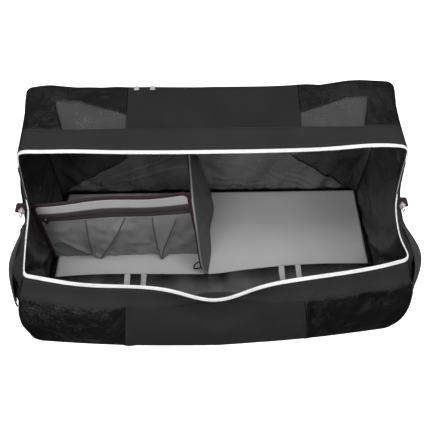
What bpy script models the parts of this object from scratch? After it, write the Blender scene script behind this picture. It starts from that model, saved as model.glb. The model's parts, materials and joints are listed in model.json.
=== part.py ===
"""Skate bag: a long soft holdall for ice skates and pads, standing open with its front slumped.

Metres, +Z up, +X along the bag, -Y to the front. The origin is the middle of the underside.
"""

from math import atan2, cos, exp, pi, radians, sin

import bmesh
import bpy
from mathutils import Matrix, Vector

# Overall sizes of the bag as it stands open
LENGTH = 0.900
WIDTH = 0.460
HEIGHT = 0.420

# Materials' thickness and clearances
FABRIC = 0.003
BOARD = 0.005
WEBBING = 0.003
MESH = 0.002
GAP = 0.0004
SWING_GAP = 0.0008

# Opening: where the zip ends and where the two lips hang
ZIP_END_Y = -0.038
ZIP_END_Z = 0.280
BACK_TOP_DEPTH = 0.188
BACK_TOP_DROOP = radians(7.2)
LIP_END_Y = -0.160
LIP_Z = 0.222
LIP_CROWN = 0.052
LIP_PEAK = 0.043
LIP_PEAK_WIDTH = 0.070
FOOT_OUT = 0.006
FOOT_CROWN = 0.027
FRONT_BULGE = 0.020

# Cut panels
TAPE_WIDTH = 0.010
BAND_WIDTH = 0.055
BACK_CENTRE_HALF = 0.210
FRONT_CENTRE_HALF = 0.225

# Mesh windows, measured from the centre panel outwards
TOP_WINDOW_LENGTH = 0.152
TOP_WINDOW_CORNER = 0.120
TOP_WINDOW_BACK = 0.030
TOP_WINDOW_STEP = 0.055
TOP_WINDOW_LEAN = 0.025
BACK_WINDOW_LENGTH = 0.200
BACK_WINDOW_DROP = 0.040
BACK_WINDOW_DEPTH = 0.230
BACK_WINDOW_RISE = 0.148

# Slumped front wall: a pleat that lies on the base board
PLEAT_DEPTH = 0.160
PLEAT_HEIGHT = 0.016
PLEAT_SIDE = 0.006

# Dividers
DIVIDER_HEIGHT = 0.268
DIVIDER_X = -0.006
DIVIDER_LEAN = radians(10.0)
DIVIDER = 0.004
BINDING_WIDTH = 0.011
POCKET_HEIGHT = 0.292
POCKET_FALL = 0.038
POCKET_STRIP = 0.033
POCKET_ZIP = 0.038
POCKET_DEPTH = 0.010

# Webbing
HANDLE_WEBBING = 0.052
BACK_HANDLE_HALF = 0.162
BACK_HANDLE_DROP = 0.250
FRONT_HANDLE_HALF = 0.212
TACK_WIDTH = 0.013
TACK_HEIGHT = 0.016
STITCH_TAPE = 0.016
END_HANDLE_WEBBING = 0.045
END_HANDLE_REACH = 0.036
END_HANDLE_REAR = (-0.072, 0.236)
END_HANDLE_FRONT = (-0.186, 0.118)
END_HANDLE_FREE = 0.20
END_HANDLE_SLIT = 0.0022
END_BAR = (0.034, 0.010, 0.006)
ZIP_TAB = (0.024, 0.026, 0.004)

# Zip hardware
SLIDER = (0.009, 0.012, 0.015)
PULL_RING = 0.0085
PULL_WIRE = 0.0013
POCKET_SLIDER = (0.012, 0.006, 0.009)
POCKET_PULL = (0.006, 0.0016, 0.022)
TIE_LOOP = 0.014
TIE_CORD = 0.0016
TIE_Z = 0.050

# Places worked out from the sizes above
HALF_LENGTH = LENGTH / 2
HALF_WIDTH = WIDTH / 2
END_INNER = HALF_LENGTH - FABRIC
BACK_INNER = HALF_WIDTH - FABRIC
FLOOR = FABRIC + GAP
BOARD_TOP = FLOOR + BOARD
HINGE_Y = HALF_WIDTH - FABRIC / 2
HINGE_Z = HEIGHT - FABRIC / 2
WALL_TOP = HINGE_Z - FABRIC - GAP
PLEAT_RIDGE = -HALF_WIDTH + 0.004 + PLEAT_DEPTH
POCKET_LEFT = -END_INNER + GAP
SHARP = radians(35)


def clear_scene():
    for obj in list(bpy.data.objects):
        bpy.data.objects.remove(obj, do_unlink=True)


def collection(name):
    made = bpy.data.collections.new(name)
    bpy.context.scene.collection.children.link(made)
    return made


def material(name, colour, roughness, metallic=0.0):
    made = bpy.data.materials.new(name)
    made.use_nodes = True
    shader = made.node_tree.nodes["Principled BSDF"]
    shader.inputs["Base Color"].default_value = (*colour, 1.0)
    shader.inputs["Roughness"].default_value = roughness
    shader.inputs["Metallic"].default_value = metallic
    return made


def place(obj, mat, matrix=None, parent=None):
    """Puts an object in the bag's collection; the matrix is in its parent's frame."""
    obj.data.materials.append(mat)
    BAG.objects.link(obj)
    obj.parent = parent
    obj.matrix_basis = matrix or Matrix()
    return obj


def pivot(name, point, rotation=(0.0, 0.0, 0.0)):
    """An empty on a joint's axis, which the moving pieces are parented to."""
    empty = bpy.data.objects.new(name, None)
    empty.location = point
    empty.rotation_euler = rotation
    empty.empty_display_size = 0.03
    BAG.objects.link(empty)
    return empty


def mesh_object(name, bm, smooth=True):
    mesh = bpy.data.meshes.new(name)
    bmesh.ops.recalc_face_normals(bm, faces=bm.faces)
    bm.to_mesh(mesh)
    bm.free()
    if smooth:
        mesh.shade_smooth()
        mesh.set_sharp_from_angle(angle=SHARP)
    return bpy.data.objects.new(name, mesh)


def inset(points, by):
    """A closed outline moved inwards by the same distance on every side."""
    area = sum(a[0] * b[1] - b[0] * a[1] for a, b in zip(points, points[1:] + points[:1]))
    ring = [Vector(p) for p in (points if area > 0 else points[::-1])]
    moved = []
    for i, corner in enumerate(ring):
        before = (corner - ring[i - 1]).normalized()
        after = (ring[(i + 1) % len(ring)] - corner).normalized()
        normal = Vector((-before.y - after.y, before.x + after.x)).normalized()
        share = max(0.3, normal.dot(Vector((-before.y, before.x))))
        moved.append(corner + normal * (by / share))
    return moved


def flat(name, outline, thickness, mat, matrix, parent=None):
    """A flat cut piece: an outline extruded by half its thickness each way."""
    curve = bpy.data.curves.new(name, "CURVE")
    curve.dimensions = "2D"
    curve.fill_mode = "BOTH"
    curve.extrude = thickness / 2
    spline = curve.splines.new("POLY")
    ring = inset(outline, GAP / 2)
    spline.points.add(len(ring) - 1)
    for point, corner in zip(spline.points, ring):
        point.co = (corner.x, corner.y, 0.0, 1.0)
    spline.use_cyclic_u = True
    return place(bpy.data.objects.new(name, curve), mat, matrix, parent)


def box(name, size, centre, mat, parent=None, bevel=0.0, turn=(0.0, 0.0, 0.0)):
    bm = bmesh.new()
    bmesh.ops.create_cube(bm, size=1.0)
    bmesh.ops.scale(bm, vec=size, verts=bm.verts)
    obj = mesh_object(name, bm, smooth=False)
    rotation = Matrix.Rotation(turn[2], 4, "Z") @ Matrix.Rotation(turn[1], 4, "Y")
    place(obj, mat, Matrix.Translation(centre) @ rotation @ Matrix.Rotation(turn[0], 4, "X"), parent)
    if bevel:
        edge = obj.modifiers.new("Edges", "BEVEL")
        edge.width = bevel
        edge.segments = 2
    return obj


def sheet(name, surface, across, along, thickness, mat, parent=None):
    """A curved panel: a grid on surface(u, v), with Solidify for its thickness."""
    bm = bmesh.new()
    rows = [
        [bm.verts.new(surface(i / across, j / along)) for i in range(across + 1)]
        for j in range(along + 1)
    ]
    for low, high in zip(rows, rows[1:]):
        for i in range(across):
            bm.faces.new((low[i], low[i + 1], high[i + 1], high[i]))
    obj = mesh_object(name, bm)
    place(obj, mat, None, parent)
    wall = obj.modifiers.new("Thickness", "SOLIDIFY")
    wall.thickness = thickness
    wall.offset = 0.0
    return obj


def ring(name, radius, wire, mat, parent, matrix):
    """A closed wire ring in its own XY plane."""
    curve = bpy.data.curves.new(name, "CURVE")
    curve.dimensions = "3D"
    curve.bevel_depth = wire
    curve.bevel_resolution = 1
    spline = curve.splines.new("POLY")
    steps = 16
    spline.points.add(steps - 1)
    for k, point in enumerate(spline.points):
        angle = 2 * pi * k / steps
        point.co = (radius * cos(angle), radius * sin(angle), 0.0, 1.0)
    spline.use_cyclic_u = True
    return place(bpy.data.objects.new(name, curve), mat, matrix, parent)


def facing_x(x):
    """Outline coordinates become Y and Z, at this X."""
    return Matrix.Translation((x, 0, 0)) @ Matrix(((0, 0, 1, 0), (1, 0, 0, 0), (0, 1, 0, 0), (0, 0, 0, 1)))


def facing_y(y):
    """Outline coordinates become X and Z, at this Y."""
    return Matrix.Translation((0, y, 0)) @ Matrix.Rotation(pi / 2, 4, "X")


def facing_z(z):
    return Matrix.Translation((0, 0, z))


def lip_y(x):
    """The front lip bows forwards and rolls over in the middle."""
    bow = LIP_CROWN * (1 - (x / HALF_LENGTH) ** 2)
    return LIP_END_Y - bow - LIP_PEAK * exp(-((x / LIP_PEAK_WIDTH) ** 2))


def front(x, s):
    """The hanging front top panel: s is 0 at the floor and 1 at the lip."""
    foot = -HALF_WIDTH - FOOT_OUT - FOOT_CROWN * (1 - (x / HALF_LENGTH) ** 2)
    y = foot + (lip_y(x) - foot) * s**1.7 - FRONT_BULGE * sin(pi * s)
    return Vector((x, y, LIP_Z * s))


FRONT_LENGTH = sum(
    (front(END_INNER, (k + 1) / 20) - front(END_INNER, k / 20)).length for k in range(20)
)
BAND_FOOT = 1 - (TAPE_WIDTH + BAND_WIDTH) / FRONT_LENGTH
TAPE_FOOT = 1 - TAPE_WIDTH / FRONT_LENGTH


def front_piece(name, x0, x1, s0, s1, across, mat):
    """Part of the hanging front, kept clear of its neighbours on all four sides."""
    side = GAP / 2
    rise = side / FRONT_LENGTH

    def surface(u, v):
        low, high = s0 + rise * 1.5, s1 - rise * 1.5
        return front(x0 + side + (x1 - x0 - 2 * side) * u, low + (high - low) * v)

    return sheet(name, surface, across, max(1, round((s1 - s0) * 8)), FABRIC, mat)


def build_base(mats):
    outline = [
        (-HALF_LENGTH, -HALF_WIDTH),
        (HALF_LENGTH, -HALF_WIDTH),
        (HALF_LENGTH, HALF_WIDTH),
        (-HALF_LENGTH, HALF_WIDTH),
    ]
    flat("bottom_panel", outline, FABRIC, mats["coated"], facing_z(FABRIC / 2))
    inner = [(x * (END_INNER - 0.004) / HALF_LENGTH, y * (BACK_INNER - 0.002) / HALF_WIDTH) for x, y in outline]
    flat("base_board", inner, BOARD, mats["lining"], facing_z(FLOOR + BOARD / 2))


def side_window(side):
    """Outline of a mesh window in the top panel, in the panel's own frame."""
    inner = BACK_CENTRE_HALF
    edge = -(BACK_TOP_DEPTH - TAPE_WIDTH - BAND_WIDTH)
    return [
        (side * inner, edge),
        (side * inner, -TOP_WINDOW_BACK - TOP_WINDOW_STEP),
        (side * (inner + TOP_WINDOW_CORNER), -TOP_WINDOW_BACK),
        (side * (inner + TOP_WINDOW_LENGTH + TOP_WINDOW_LEAN), -TOP_WINDOW_BACK),
        (side * (inner + TOP_WINDOW_LENGTH), edge),
    ]


def build_back_top(mats):
    """The rear half of the top, which swings on the back top edge."""
    hinge = pivot("back_flap", (0, HINGE_Y, HINGE_Z), (BACK_TOP_DROOP, 0, 0))
    half = END_INNER - SWING_GAP
    band_edge = -(BACK_TOP_DEPTH - TAPE_WIDTH - BAND_WIDTH)
    tape_edge = -(BACK_TOP_DEPTH - TAPE_WIDTH)
    centre = BACK_CENTRE_HALF

    def strip(name, x0, x1, y0, y1, mat):
        outline = [(x0, y0), (x1, y0), (x1, y1), (x0, y1)]
        flat(name, outline, FABRIC, mat, Matrix(), hinge)

    strip("top_centre_panel", -centre, centre, band_edge, 0, mats["matte"])
    strip("back_band", -half, half, tape_edge, band_edge, mats["band"])
    strip("back_zip_tape", -half, half, -BACK_TOP_DEPTH, tape_edge, mats["zip"])
    for side, word in ((-1, "left"), (1, "right")):
        window = side_window(side)
        panel = [(side * half, band_edge), (side * half, 0), (side * centre, 0)] + window[1:]
        flat(f"top_{word}_panel", panel, FABRIC, mats["coated"], Matrix(), hinge)
        flat(f"top_{word}_window", window, MESH, mats["window"], Matrix(), hinge)


def build_back_wall(mats):
    y = HALF_WIDTH - FABRIC / 2
    half = END_INNER
    centre = BACK_CENTRE_HALF
    top = WALL_TOP - BACK_WINDOW_DROP
    tip = top - BACK_WINDOW_DEPTH
    middle = [(-centre, FLOOR), (centre, FLOOR), (centre, WALL_TOP), (-centre, WALL_TOP)]
    flat("back_centre_panel", middle, FABRIC, mats["matte"], facing_y(y))
    for side, word in ((-1, "left"), (1, "right")):
        outer = side * (centre + BACK_WINDOW_LENGTH)
        window = [
            (side * centre, top),
            (side * centre, tip),
            (outer, tip + BACK_WINDOW_RISE),
            (outer, top),
        ]
        panel = [
            (side * centre, top),
            (side * centre, WALL_TOP),
            (side * half, WALL_TOP),
            (side * half, FLOOR),
            (side * centre, FLOOR),
            *window[1:],
        ]
        flat(f"back_{word}_panel", panel, FABRIC, mats["coated"], facing_y(y))
        flat(f"back_{word}_window", window, MESH, mats["window"], facing_y(y))


def toward(start, end, distance):
    step = Vector(end) - Vector(start)
    return tuple(Vector(start) + step.normalized() * distance)


def build_ends(mats):
    """Each end is cut in three: the panel, the band below the zip, and the zip tape."""
    slope = Vector((cos(BACK_TOP_DROOP), sin(BACK_TOP_DROOP)))
    corner = Vector((HINGE_Y, HINGE_Z))
    back_top = (HINGE_Y, HINGE_Z)
    back_lip = tuple(corner - slope * BACK_TOP_DEPTH)
    zip_end = (ZIP_END_Y, ZIP_END_Z)
    profile = [tuple(front(END_INNER, k / 6).yz) for k in range(7)]
    front_lip = profile[-1]
    deep = TAPE_WIDTH + BAND_WIDTH
    down = (0.5, -0.866)
    tape_low = (zip_end[0] + down[0] * TAPE_WIDTH, zip_end[1] + down[1] * TAPE_WIDTH)
    band_low = (zip_end[0] + down[0] * deep, zip_end[1] + down[1] * deep)
    front_tape = tuple(front(END_INNER, TAPE_FOOT).yz)
    front_band = tuple(front(END_INNER, BAND_FOOT).yz)
    below = [p for p in profile if p[1] < front_band[1] - 0.01]
    tape = [back_lip, zip_end, front_lip, front_tape, tape_low, toward(back_lip, back_top, TAPE_WIDTH)]
    band = [tape[5], tape_low, front_tape, front_band, band_low, toward(back_lip, back_top, deep)]
    foot = (below[0][0], FLOOR)
    panel = [band[5], band_low, front_band, *below[:0:-1], foot, (HINGE_Y + FABRIC / 2, FLOOR)]
    panel += [(HINGE_Y + FABRIC / 2, HINGE_Z), back_top]
    for side, word in ((-1, "left"), (1, "right")):
        where = facing_x(side * (HALF_LENGTH - FABRIC / 2))
        flat(f"{word}_end_panel", panel, FABRIC, mats["coated"], where)
        flat(f"{word}_end_band", band, FABRIC, mats["band"], where)
        flat(f"{word}_end_tape", tape, FABRIC, mats["zip"], where)


def build_front(mats):
    half = END_INNER
    centre = FRONT_CENTRE_HALF
    foot = 0.5 * FABRIC / LIP_Z
    front_piece("front_centre_panel", -centre, centre, foot, BAND_FOOT, 12, mats["matte"])
    front_piece("front_left_panel", -half, -centre, foot, BAND_FOOT, 5, mats["coated"])
    front_piece("front_right_panel", centre, half, foot, BAND_FOOT, 5, mats["coated"])
    front_piece("front_band", -half, half, BAND_FOOT, TAPE_FOOT, 24, mats["band"])
    front_piece("front_zip_tape", -half, half, TAPE_FOOT, 1.0, 24, mats["zip"])


def build_pleat(mats):
    """The front wall, folded double on the board, with its carry handle caught inside."""
    low = BOARD_TOP + GAP
    high = low + PLEAT_HEIGHT
    back = PLEAT_RIDGE
    mouth = -BACK_INNER + 0.002
    turn = PLEAT_HEIGHT / 2
    outline = [
        (mouth, low),
        (back - turn, low),
        (back, low + turn),
        (back - turn, high),
        (mouth, high),
        (mouth, high - FABRIC),
        (back - turn, high - FABRIC),
        (back - FABRIC, low + turn),
        (back - turn, low + FABRIC),
        (mouth, low + FABRIC),
    ]
    flat("front_wall", outline, 2 * (END_INNER - PLEAT_SIDE), mats["coated"], facing_x(0))

    reach = PLEAT_DEPTH * 0.7
    outer = FRONT_HANDLE_HALF + HANDLE_WEBBING / 2
    inner = FRONT_HANDLE_HALF - HANDLE_WEBBING / 2
    start = mouth + 0.004
    loop = [
        (-outer, start),
        (-inner, start),
        (-inner, start + reach - HANDLE_WEBBING),
        (inner, start + reach - HANDLE_WEBBING),
        (inner, start),
        (outer, start),
        (outer, start + reach),
        (-outer, start + reach),
    ]
    flat("front_handle", loop, WEBBING, mats["webbing"], facing_z(low + FABRIC + GAP + WEBBING / 2))
    for number, x in enumerate((-1, -1, 1, 1)):
        shift = STITCH_TAPE * (1.4 if number in (0, 3) else -1.4)
        middle = x * (FRONT_HANDLE_HALF + shift)
        tape = [
            (middle - STITCH_TAPE / 2, mouth + 0.004),
            (middle + STITCH_TAPE / 2, mouth + 0.004),
            (middle + STITCH_TAPE / 2, back - 2 * turn),
            (middle - STITCH_TAPE / 2, back - 2 * turn),
        ]
        flat(f"stitch_tape_{number + 1}", tape, 0.001, mats["lining"], facing_z(high + GAP + 0.0005))


def divider_x(z):
    """Middle of the leaning cross divider at a height."""
    return DIVIDER_X - (z - BOARD_TOP) * sin(DIVIDER_LEAN) / cos(DIVIDER_LEAN)


def divider_place():
    """The divider's own frame: outline X is depth, outline Y is height up the lean."""
    return Matrix.Translation((DIVIDER_X, 0, BOARD_TOP)) @ Matrix.Rotation(-DIVIDER_LEAN, 4, "Y") @ facing_x(0)


def build_dividers(mats):
    low = GAP + DIVIDER * sin(DIVIDER_LEAN)
    back = BACK_INNER - 0.002
    nose = PLEAT_RIDGE + 0.003
    edge = DIVIDER_HEIGHT - BINDING_WIDTH
    shoulder = -0.012
    body = [(nose, low), (back, low), (back, edge), (shoulder, edge), (nose, 0.040)]
    flat("cross_divider", body, DIVIDER, mats["divider"], divider_place())
    binding = [
        (nose, 0.040),
        (shoulder, edge),
        (back, edge),
        (back, DIVIDER_HEIGHT),
        (shoulder - 0.006, DIVIDER_HEIGHT),
        (nose, 0.040 + 0.030),
    ]
    flat("divider_binding", binding, DIVIDER, mats["lining"], divider_place())

    face = DIVIDER / 2 + GAP

    def row(name, z0, z1, mat, y, thickness):
        """A strip of the pocket between two heights at its right end; the left end is lower."""
        share0 = z0 / POCKET_HEIGHT
        share1 = z1 / POCKET_HEIGHT
        low_left = max(BOARD_TOP + GAP, z0 - POCKET_FALL * share0)
        low_right = max(BOARD_TOP + GAP, z0)
        outline = [
            (POCKET_LEFT, low_left),
            (divider_x(low_right) - face, low_right),
            (divider_x(z1) - face, z1),
            (POCKET_LEFT, z1 - POCKET_FALL * share1),
        ]
        flat(name, outline, thickness, mat, facing_y(y))

    strip_top = POCKET_HEIGHT - BINDING_WIDTH
    zip_top = strip_top - POCKET_STRIP
    mesh_top = zip_top - POCKET_ZIP
    row("pocket_mesh", 0.0, mesh_top, mats["window"], 0.0, MESH)
    row("pocket_zip_band", mesh_top, zip_top, mats["webbing"], 0.0, MESH)
    row("pocket_strip", zip_top, strip_top, mats["lining"], 0.0, MESH)
    row("pocket_binding", strip_top, POCKET_HEIGHT, mats["binding"], 0.0, MESH)
    row("pocket_back", 0.0, zip_top, mats["coated"], POCKET_DEPTH, MESH)

    middle = (zip_top + mesh_top) / 2
    right = Vector((divider_x(middle), 0, middle))
    left = Vector((POCKET_LEFT, 0, middle - POCKET_FALL * middle / POCKET_HEIGHT))
    slope = (right - left).normalized()
    start = left + slope * 0.024
    runner = pivot("pocket_runner", start, (0, -atan2(slope.z, slope.x), 0))
    out = -(MESH / 2 + GAP + POCKET_SLIDER[1] / 2)
    box("pocket_slider", POCKET_SLIDER, (0, out, 0), mats["metal"], runner, bevel=0.001)
    front_face = out - POCKET_SLIDER[1] / 2 - GAP - POCKET_PULL[1] / 2
    hang = pivot("pocket_pull_hinge", start + Vector((0, front_face, 0)))
    box("pocket_pull", POCKET_PULL, (0, 0, -POCKET_PULL[2] / 2), mats["metal"], hang)

    face_x = divider_x(TIE_Z) - DIVIDER / 2 / cos(DIVIDER_LEAN)
    knot = Vector((face_x - TIE_CORD - GAP, nose + TIE_LOOP, TIE_Z))
    tie = pivot("tie_hinge", knot)
    turned = Matrix.Translation((0, 0, -TIE_LOOP)) @ Matrix.Rotation(pi / 2, 4, "Y")
    ring("tie_loop", TIE_LOOP, TIE_CORD, mats["binding"], tie, turned)


def build_zip_ends(mats):
    """Slider, pull ring and folded tab at each end of the main zip."""
    for side, word in ((-1, "left"), (1, "right")):
        y = ZIP_END_Y - SLIDER[1] / 2 - 0.003
        z = ZIP_END_Z + SLIDER[2] / 2 + 0.002
        x = side * (HALF_LENGTH - FABRIC / 2)
        box(f"{word}_zip_slider", SLIDER, (x, y, z), mats["pale"], bevel=0.0015)
        out = side * (HALF_LENGTH + SLIDER[0] / 2 - FABRIC / 2 + PULL_WIRE + GAP)
        hinge = pivot(f"{word}_pull_hinge", (out, y, z))
        upright = Matrix.Translation((0, 0, -PULL_RING)) @ Matrix.Rotation(pi / 2, 4, "Y")
        ring(f"{word}_zip_pull", PULL_RING, PULL_WIRE, mats["pale"], hinge, upright)
        tab_x = side * (HALF_LENGTH + GAP + ZIP_TAB[0] / 2)
        tab_y = ZIP_END_Y + ZIP_TAB[1] / 2 + 0.006
        box(f"{word}_zip_tab", ZIP_TAB, (tab_x, tab_y, ZIP_END_Z - 0.014), mats["binding"])


def end_handle(side, t, v):
    """The slanting grab handle on an end: t runs along it and v across it."""
    rear = Vector(END_HANDLE_REAR)
    fore = Vector(END_HANDLE_FRONT)
    run = (fore - rear).normalized()
    across = Vector((run.y, -run.x))
    spot = rear + (fore - rear) * t + across * (v - 0.5) * END_HANDLE_WEBBING
    out = HALF_LENGTH + GAP + WEBBING / 2 + END_HANDLE_REACH * sin(pi * t) ** 0.8
    return Vector((side * out, spot.x, spot.y))


def build_end_handles(mats):
    rear = Vector(END_HANDLE_REAR)
    fore = Vector(END_HANDLE_FRONT)
    for side, word in ((-1, "left"), (1, "right")):
        middle = (rear + fore) / 2
        axis = pivot(f"{word}_handle_hinge", (side * HALF_LENGTH, middle.x, middle.y))
        free = END_HANDLE_FREE
        slit = END_HANDLE_SLIT / (fore - rear).length
        pieces = (
            (f"{word}_handle_rear", 0.0, free - slit, 4, None),
            (f"{word}_handle_strap", free, 1 - free, 8, axis),
            (f"{word}_handle_front", 1 - free + slit, 1.0, 4, None),
        )
        for name, t0, t1, steps, parent in pieces:
            origin = parent.location if parent else Vector()

            def surface(u, v, t0=t0, t1=t1, origin=origin, side=side):
                return end_handle(side, t0 + (t1 - t0) * u, v) - origin

            sheet(name, surface, steps, 2, WEBBING, mats["webbing"], parent)
        bar_x = side * (HALF_LENGTH + GAP + END_BAR[2] / 2)
        slant = atan2(fore.y - rear.y, fore.x - rear.x) + pi / 2
        bar_at = rear + (rear - fore).normalized() * (END_BAR[1] / 2 + 0.003)
        bar_size = (END_BAR[2], END_BAR[0], END_BAR[1])
        box(f"{word}_handle_bar", bar_size, (bar_x, bar_at.x, bar_at.y), mats["metal"], turn=(slant, 0, 0))


def build_back_handle(mats):
    y = HALF_WIDTH + GAP + WEBBING / 2
    top = HEIGHT - TACK_HEIGHT - WEBBING
    hinge = pivot("back_handle_hinge", (0, y, top))
    outer = BACK_HANDLE_HALF + HANDLE_WEBBING / 2
    inner = BACK_HANDLE_HALF - HANDLE_WEBBING / 2
    drop = BACK_HANDLE_DROP
    loop = [
        (-outer, 0),
        (-outer, -drop),
        (outer, -drop),
        (outer, 0),
        (inner, 0),
        (inner, HANDLE_WEBBING - drop),
        (-inner, HANDLE_WEBBING - drop),
        (-inner, 0),
    ]
    upright = Matrix.Rotation(pi / 2, 4, "X")
    flat("back_handle", loop, WEBBING, mats["webbing"], upright, hinge)
    size = (TACK_WIDTH, WEBBING, TACK_HEIGHT)
    for number, side in enumerate((-1, -1, 1, 1)):
        edge = BACK_HANDLE_HALF + (0.5 if number in (0, 3) else -0.5) * (HANDLE_WEBBING - TACK_WIDTH)
        centre = (side * edge, y, HEIGHT - TACK_HEIGHT / 2)
        box(f"handle_tack_{number + 1}", size, centre, mats["lining"])


def main():
    mats = {
        "coated": material("coated_black", (0.010, 0.010, 0.012), 0.28),
        "matte": material("matte_charcoal", (0.024, 0.024, 0.026), 0.75),
        "band": material("band_charcoal", (0.036, 0.036, 0.038), 0.80),
        "window": material("window_mesh", (0.110, 0.110, 0.112), 0.80),
        "lining": material("grey_lining", (0.280, 0.280, 0.285), 0.70),
        "zip": material("white_zip", (0.850, 0.850, 0.850), 0.50),
        "binding": material("maroon_binding", (0.028, 0.014, 0.017), 0.70),
        "divider": material("divider_grey", (0.060, 0.062, 0.064), 0.60),
        "webbing": material("black_webbing", (0.030, 0.028, 0.030), 0.75),
        "metal": material("dark_metal", (0.050, 0.050, 0.052), 0.35, 1.0),
        "pale": material("pale_metal", (0.620, 0.580, 0.570), 0.30, 1.0),
    }
    build_base(mats)
    build_back_top(mats)
    build_back_wall(mats)
    build_ends(mats)
    build_front(mats)
    build_pleat(mats)
    build_dividers(mats)
    build_zip_ends(mats)
    build_end_handles(mats)
    build_back_handle(mats)


clear_scene()
BAG = collection("skate_bag")
main()
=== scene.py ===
"""Skate bag: its looks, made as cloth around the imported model.

Metres, +Z up, +X along the bag, -Y to the front. Each cloth surface is a Sheet, a grid of points that can
be read anywhere in between. Panels, tapes, seams and stitches are all read from the sheets, so they share
one skin.
"""

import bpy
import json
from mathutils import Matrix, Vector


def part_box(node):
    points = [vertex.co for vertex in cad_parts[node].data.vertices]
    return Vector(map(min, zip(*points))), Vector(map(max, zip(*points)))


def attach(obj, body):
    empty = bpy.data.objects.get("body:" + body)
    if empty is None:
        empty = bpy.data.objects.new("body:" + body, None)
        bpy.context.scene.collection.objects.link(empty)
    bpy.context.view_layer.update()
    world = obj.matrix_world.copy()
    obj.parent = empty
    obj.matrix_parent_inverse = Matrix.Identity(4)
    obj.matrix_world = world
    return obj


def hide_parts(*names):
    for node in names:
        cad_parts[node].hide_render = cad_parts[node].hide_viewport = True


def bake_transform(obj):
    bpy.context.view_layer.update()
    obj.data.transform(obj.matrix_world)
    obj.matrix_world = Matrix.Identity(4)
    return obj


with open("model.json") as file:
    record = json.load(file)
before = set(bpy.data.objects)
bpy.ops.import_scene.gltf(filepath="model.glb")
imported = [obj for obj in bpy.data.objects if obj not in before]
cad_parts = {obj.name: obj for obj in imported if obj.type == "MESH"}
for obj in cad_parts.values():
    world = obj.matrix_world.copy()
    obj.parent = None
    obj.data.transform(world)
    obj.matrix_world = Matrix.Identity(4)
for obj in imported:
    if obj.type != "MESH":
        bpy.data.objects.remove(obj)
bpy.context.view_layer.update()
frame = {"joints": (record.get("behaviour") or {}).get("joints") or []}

import json
from math import cos, pi, radians, sin

import bpy
import numpy as np
from mathutils import Matrix, Vector

JOINT = {joint["name"]: joint for joint in frame["joints"]}

# The bag's own sizes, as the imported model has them
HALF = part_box("bottom_panel")[1].x
BOARD_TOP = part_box("base_board")[1].z
WALL_Y = sum(corner.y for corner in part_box("back_centre_panel")) / 2
HINGE_Y, HINGE_Z = JOINT["back_flap_sag"]["pos_m"][1:]
FLAP_DEPTH = 0.188
FLAP_DROOP = radians(7.2)
LIP_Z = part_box("front_zip_tape")[1].z
BACK_CENTRE_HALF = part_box("back_centre_panel")[1].x
FRONT_CENTRE_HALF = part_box("front_centre_panel")[1].x
ZIP_END = (-0.038, 0.280)
BAND = 0.055
TAPE = 0.010
ZIP_TAPE, ZIP_TOOTH = (0.0094, 0.0018), (0.0044, 0.0021, 0.0024)
ZIP_PITCH, ZIP_TUCK = 0.003, 0.005
WINDOW_BELOW_TOP, WINDOW_DEPTH, WINDOW_RISE, WINDOW_LENGTH = 0.040, 0.230, 0.148, 0.200
TOP_WINDOW_STARTS = (0.084, 0.046)
GRIP_REAR, GRIP_FORE, GRIP_WIDTH = (-0.072, 0.236), (-0.186, 0.118), 0.045
CARRY_WIDTH = 0.052

# How the cloth hangs: the lip and the foot of the front, the rounded top edge, the swollen ends, the folded
# front wall and the dividers
LIP_END_Y, LIP_CROWN, LIP_PEAK, LIP_PEAK_WIDTH, LIP_SKEW = -0.168, 0.052, 0.039, 0.088, 0.014
FOOT_END_Y, FOOT_CROWN, FOOT_SKEW = -0.240, 0.029, 0.016
FRONT_BULGE, ROLL_DEPTH = 0.020, 0.056
TOP_EDGE_RADIUS, TOP_EDGE_LIFT, BACK_CORNER, FRONT_CORNER = 0.009, 0.003, 0.022, 0.012
LEFT_BELLY, RIGHT_BELLY, BELLY_Y, BELLY_Z = 0.029, 0.035, -0.19, 0.115
LEFT_SWELL, RIGHT_SWELL = 0.021, 0.031
PLEAT_MOUTH, PLEAT_HALF = -0.224, HALF - 0.010
DIVIDER_HEIGHT = 0.262
DIVIDER_NOSE, DIVIDER_SHOULDER, DIVIDER_BACK = -0.070, -0.014, 0.214
POCKET_HEIGHT, POCKET_FALL = 0.292, 0.038
BINDING, POCKET_STRIP, POCKET_ZIP = 0.011, 0.033, 0.038

# Cloth thicknesses, and how high seams and stitches stand on the cloth
COATED, MESH_CLOTH, BAND_CLOTH, WEBBING, PLY = 0.0016, 0.0010, 0.0022, 0.0028, 0.0014
DIVIDER_CLOTH, POCKET_MESH_CLOTH = 0.0034, 0.0008
SEAM_LIFT, STITCH_LIFT, BAND_STITCH_LIFT = 0.0010, 0.0012, 0.0014
STITCH_INSET = 0.004
BAND_STITCHES = (TAPE + STITCH_INSET, TAPE + BAND - STITCH_INSET)
TWIN_STITCHES = (-0.0035, 0.0035)
PIPING_RADIUS = 0.0022
STEP, FINE_STEP = 0.008, 0.006


# ---------------------------------------------------------------- sheets


def bell(x, centre, width):
    return np.exp(-(((x - centre) / width) ** 2))


def smooth(low, high, x):
    t = np.clip((x - low) / (high - low), 0, 1)
    return t * t * (3 - 2 * t)


def lerp(a, b, t):
    return a + (b - a) * t


def unit(vectors):
    return vectors / np.maximum(np.linalg.norm(vectors, axis=-1, keepdims=True), 1e-12)


def grid_faces(index):
    """Four-sided faces between the rows and columns of a grid of point numbers."""
    return np.stack([index[:-1, :-1], index[:-1, 1:], index[1:, 1:], index[1:, :-1]], -1).reshape(-1, 4)


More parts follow.
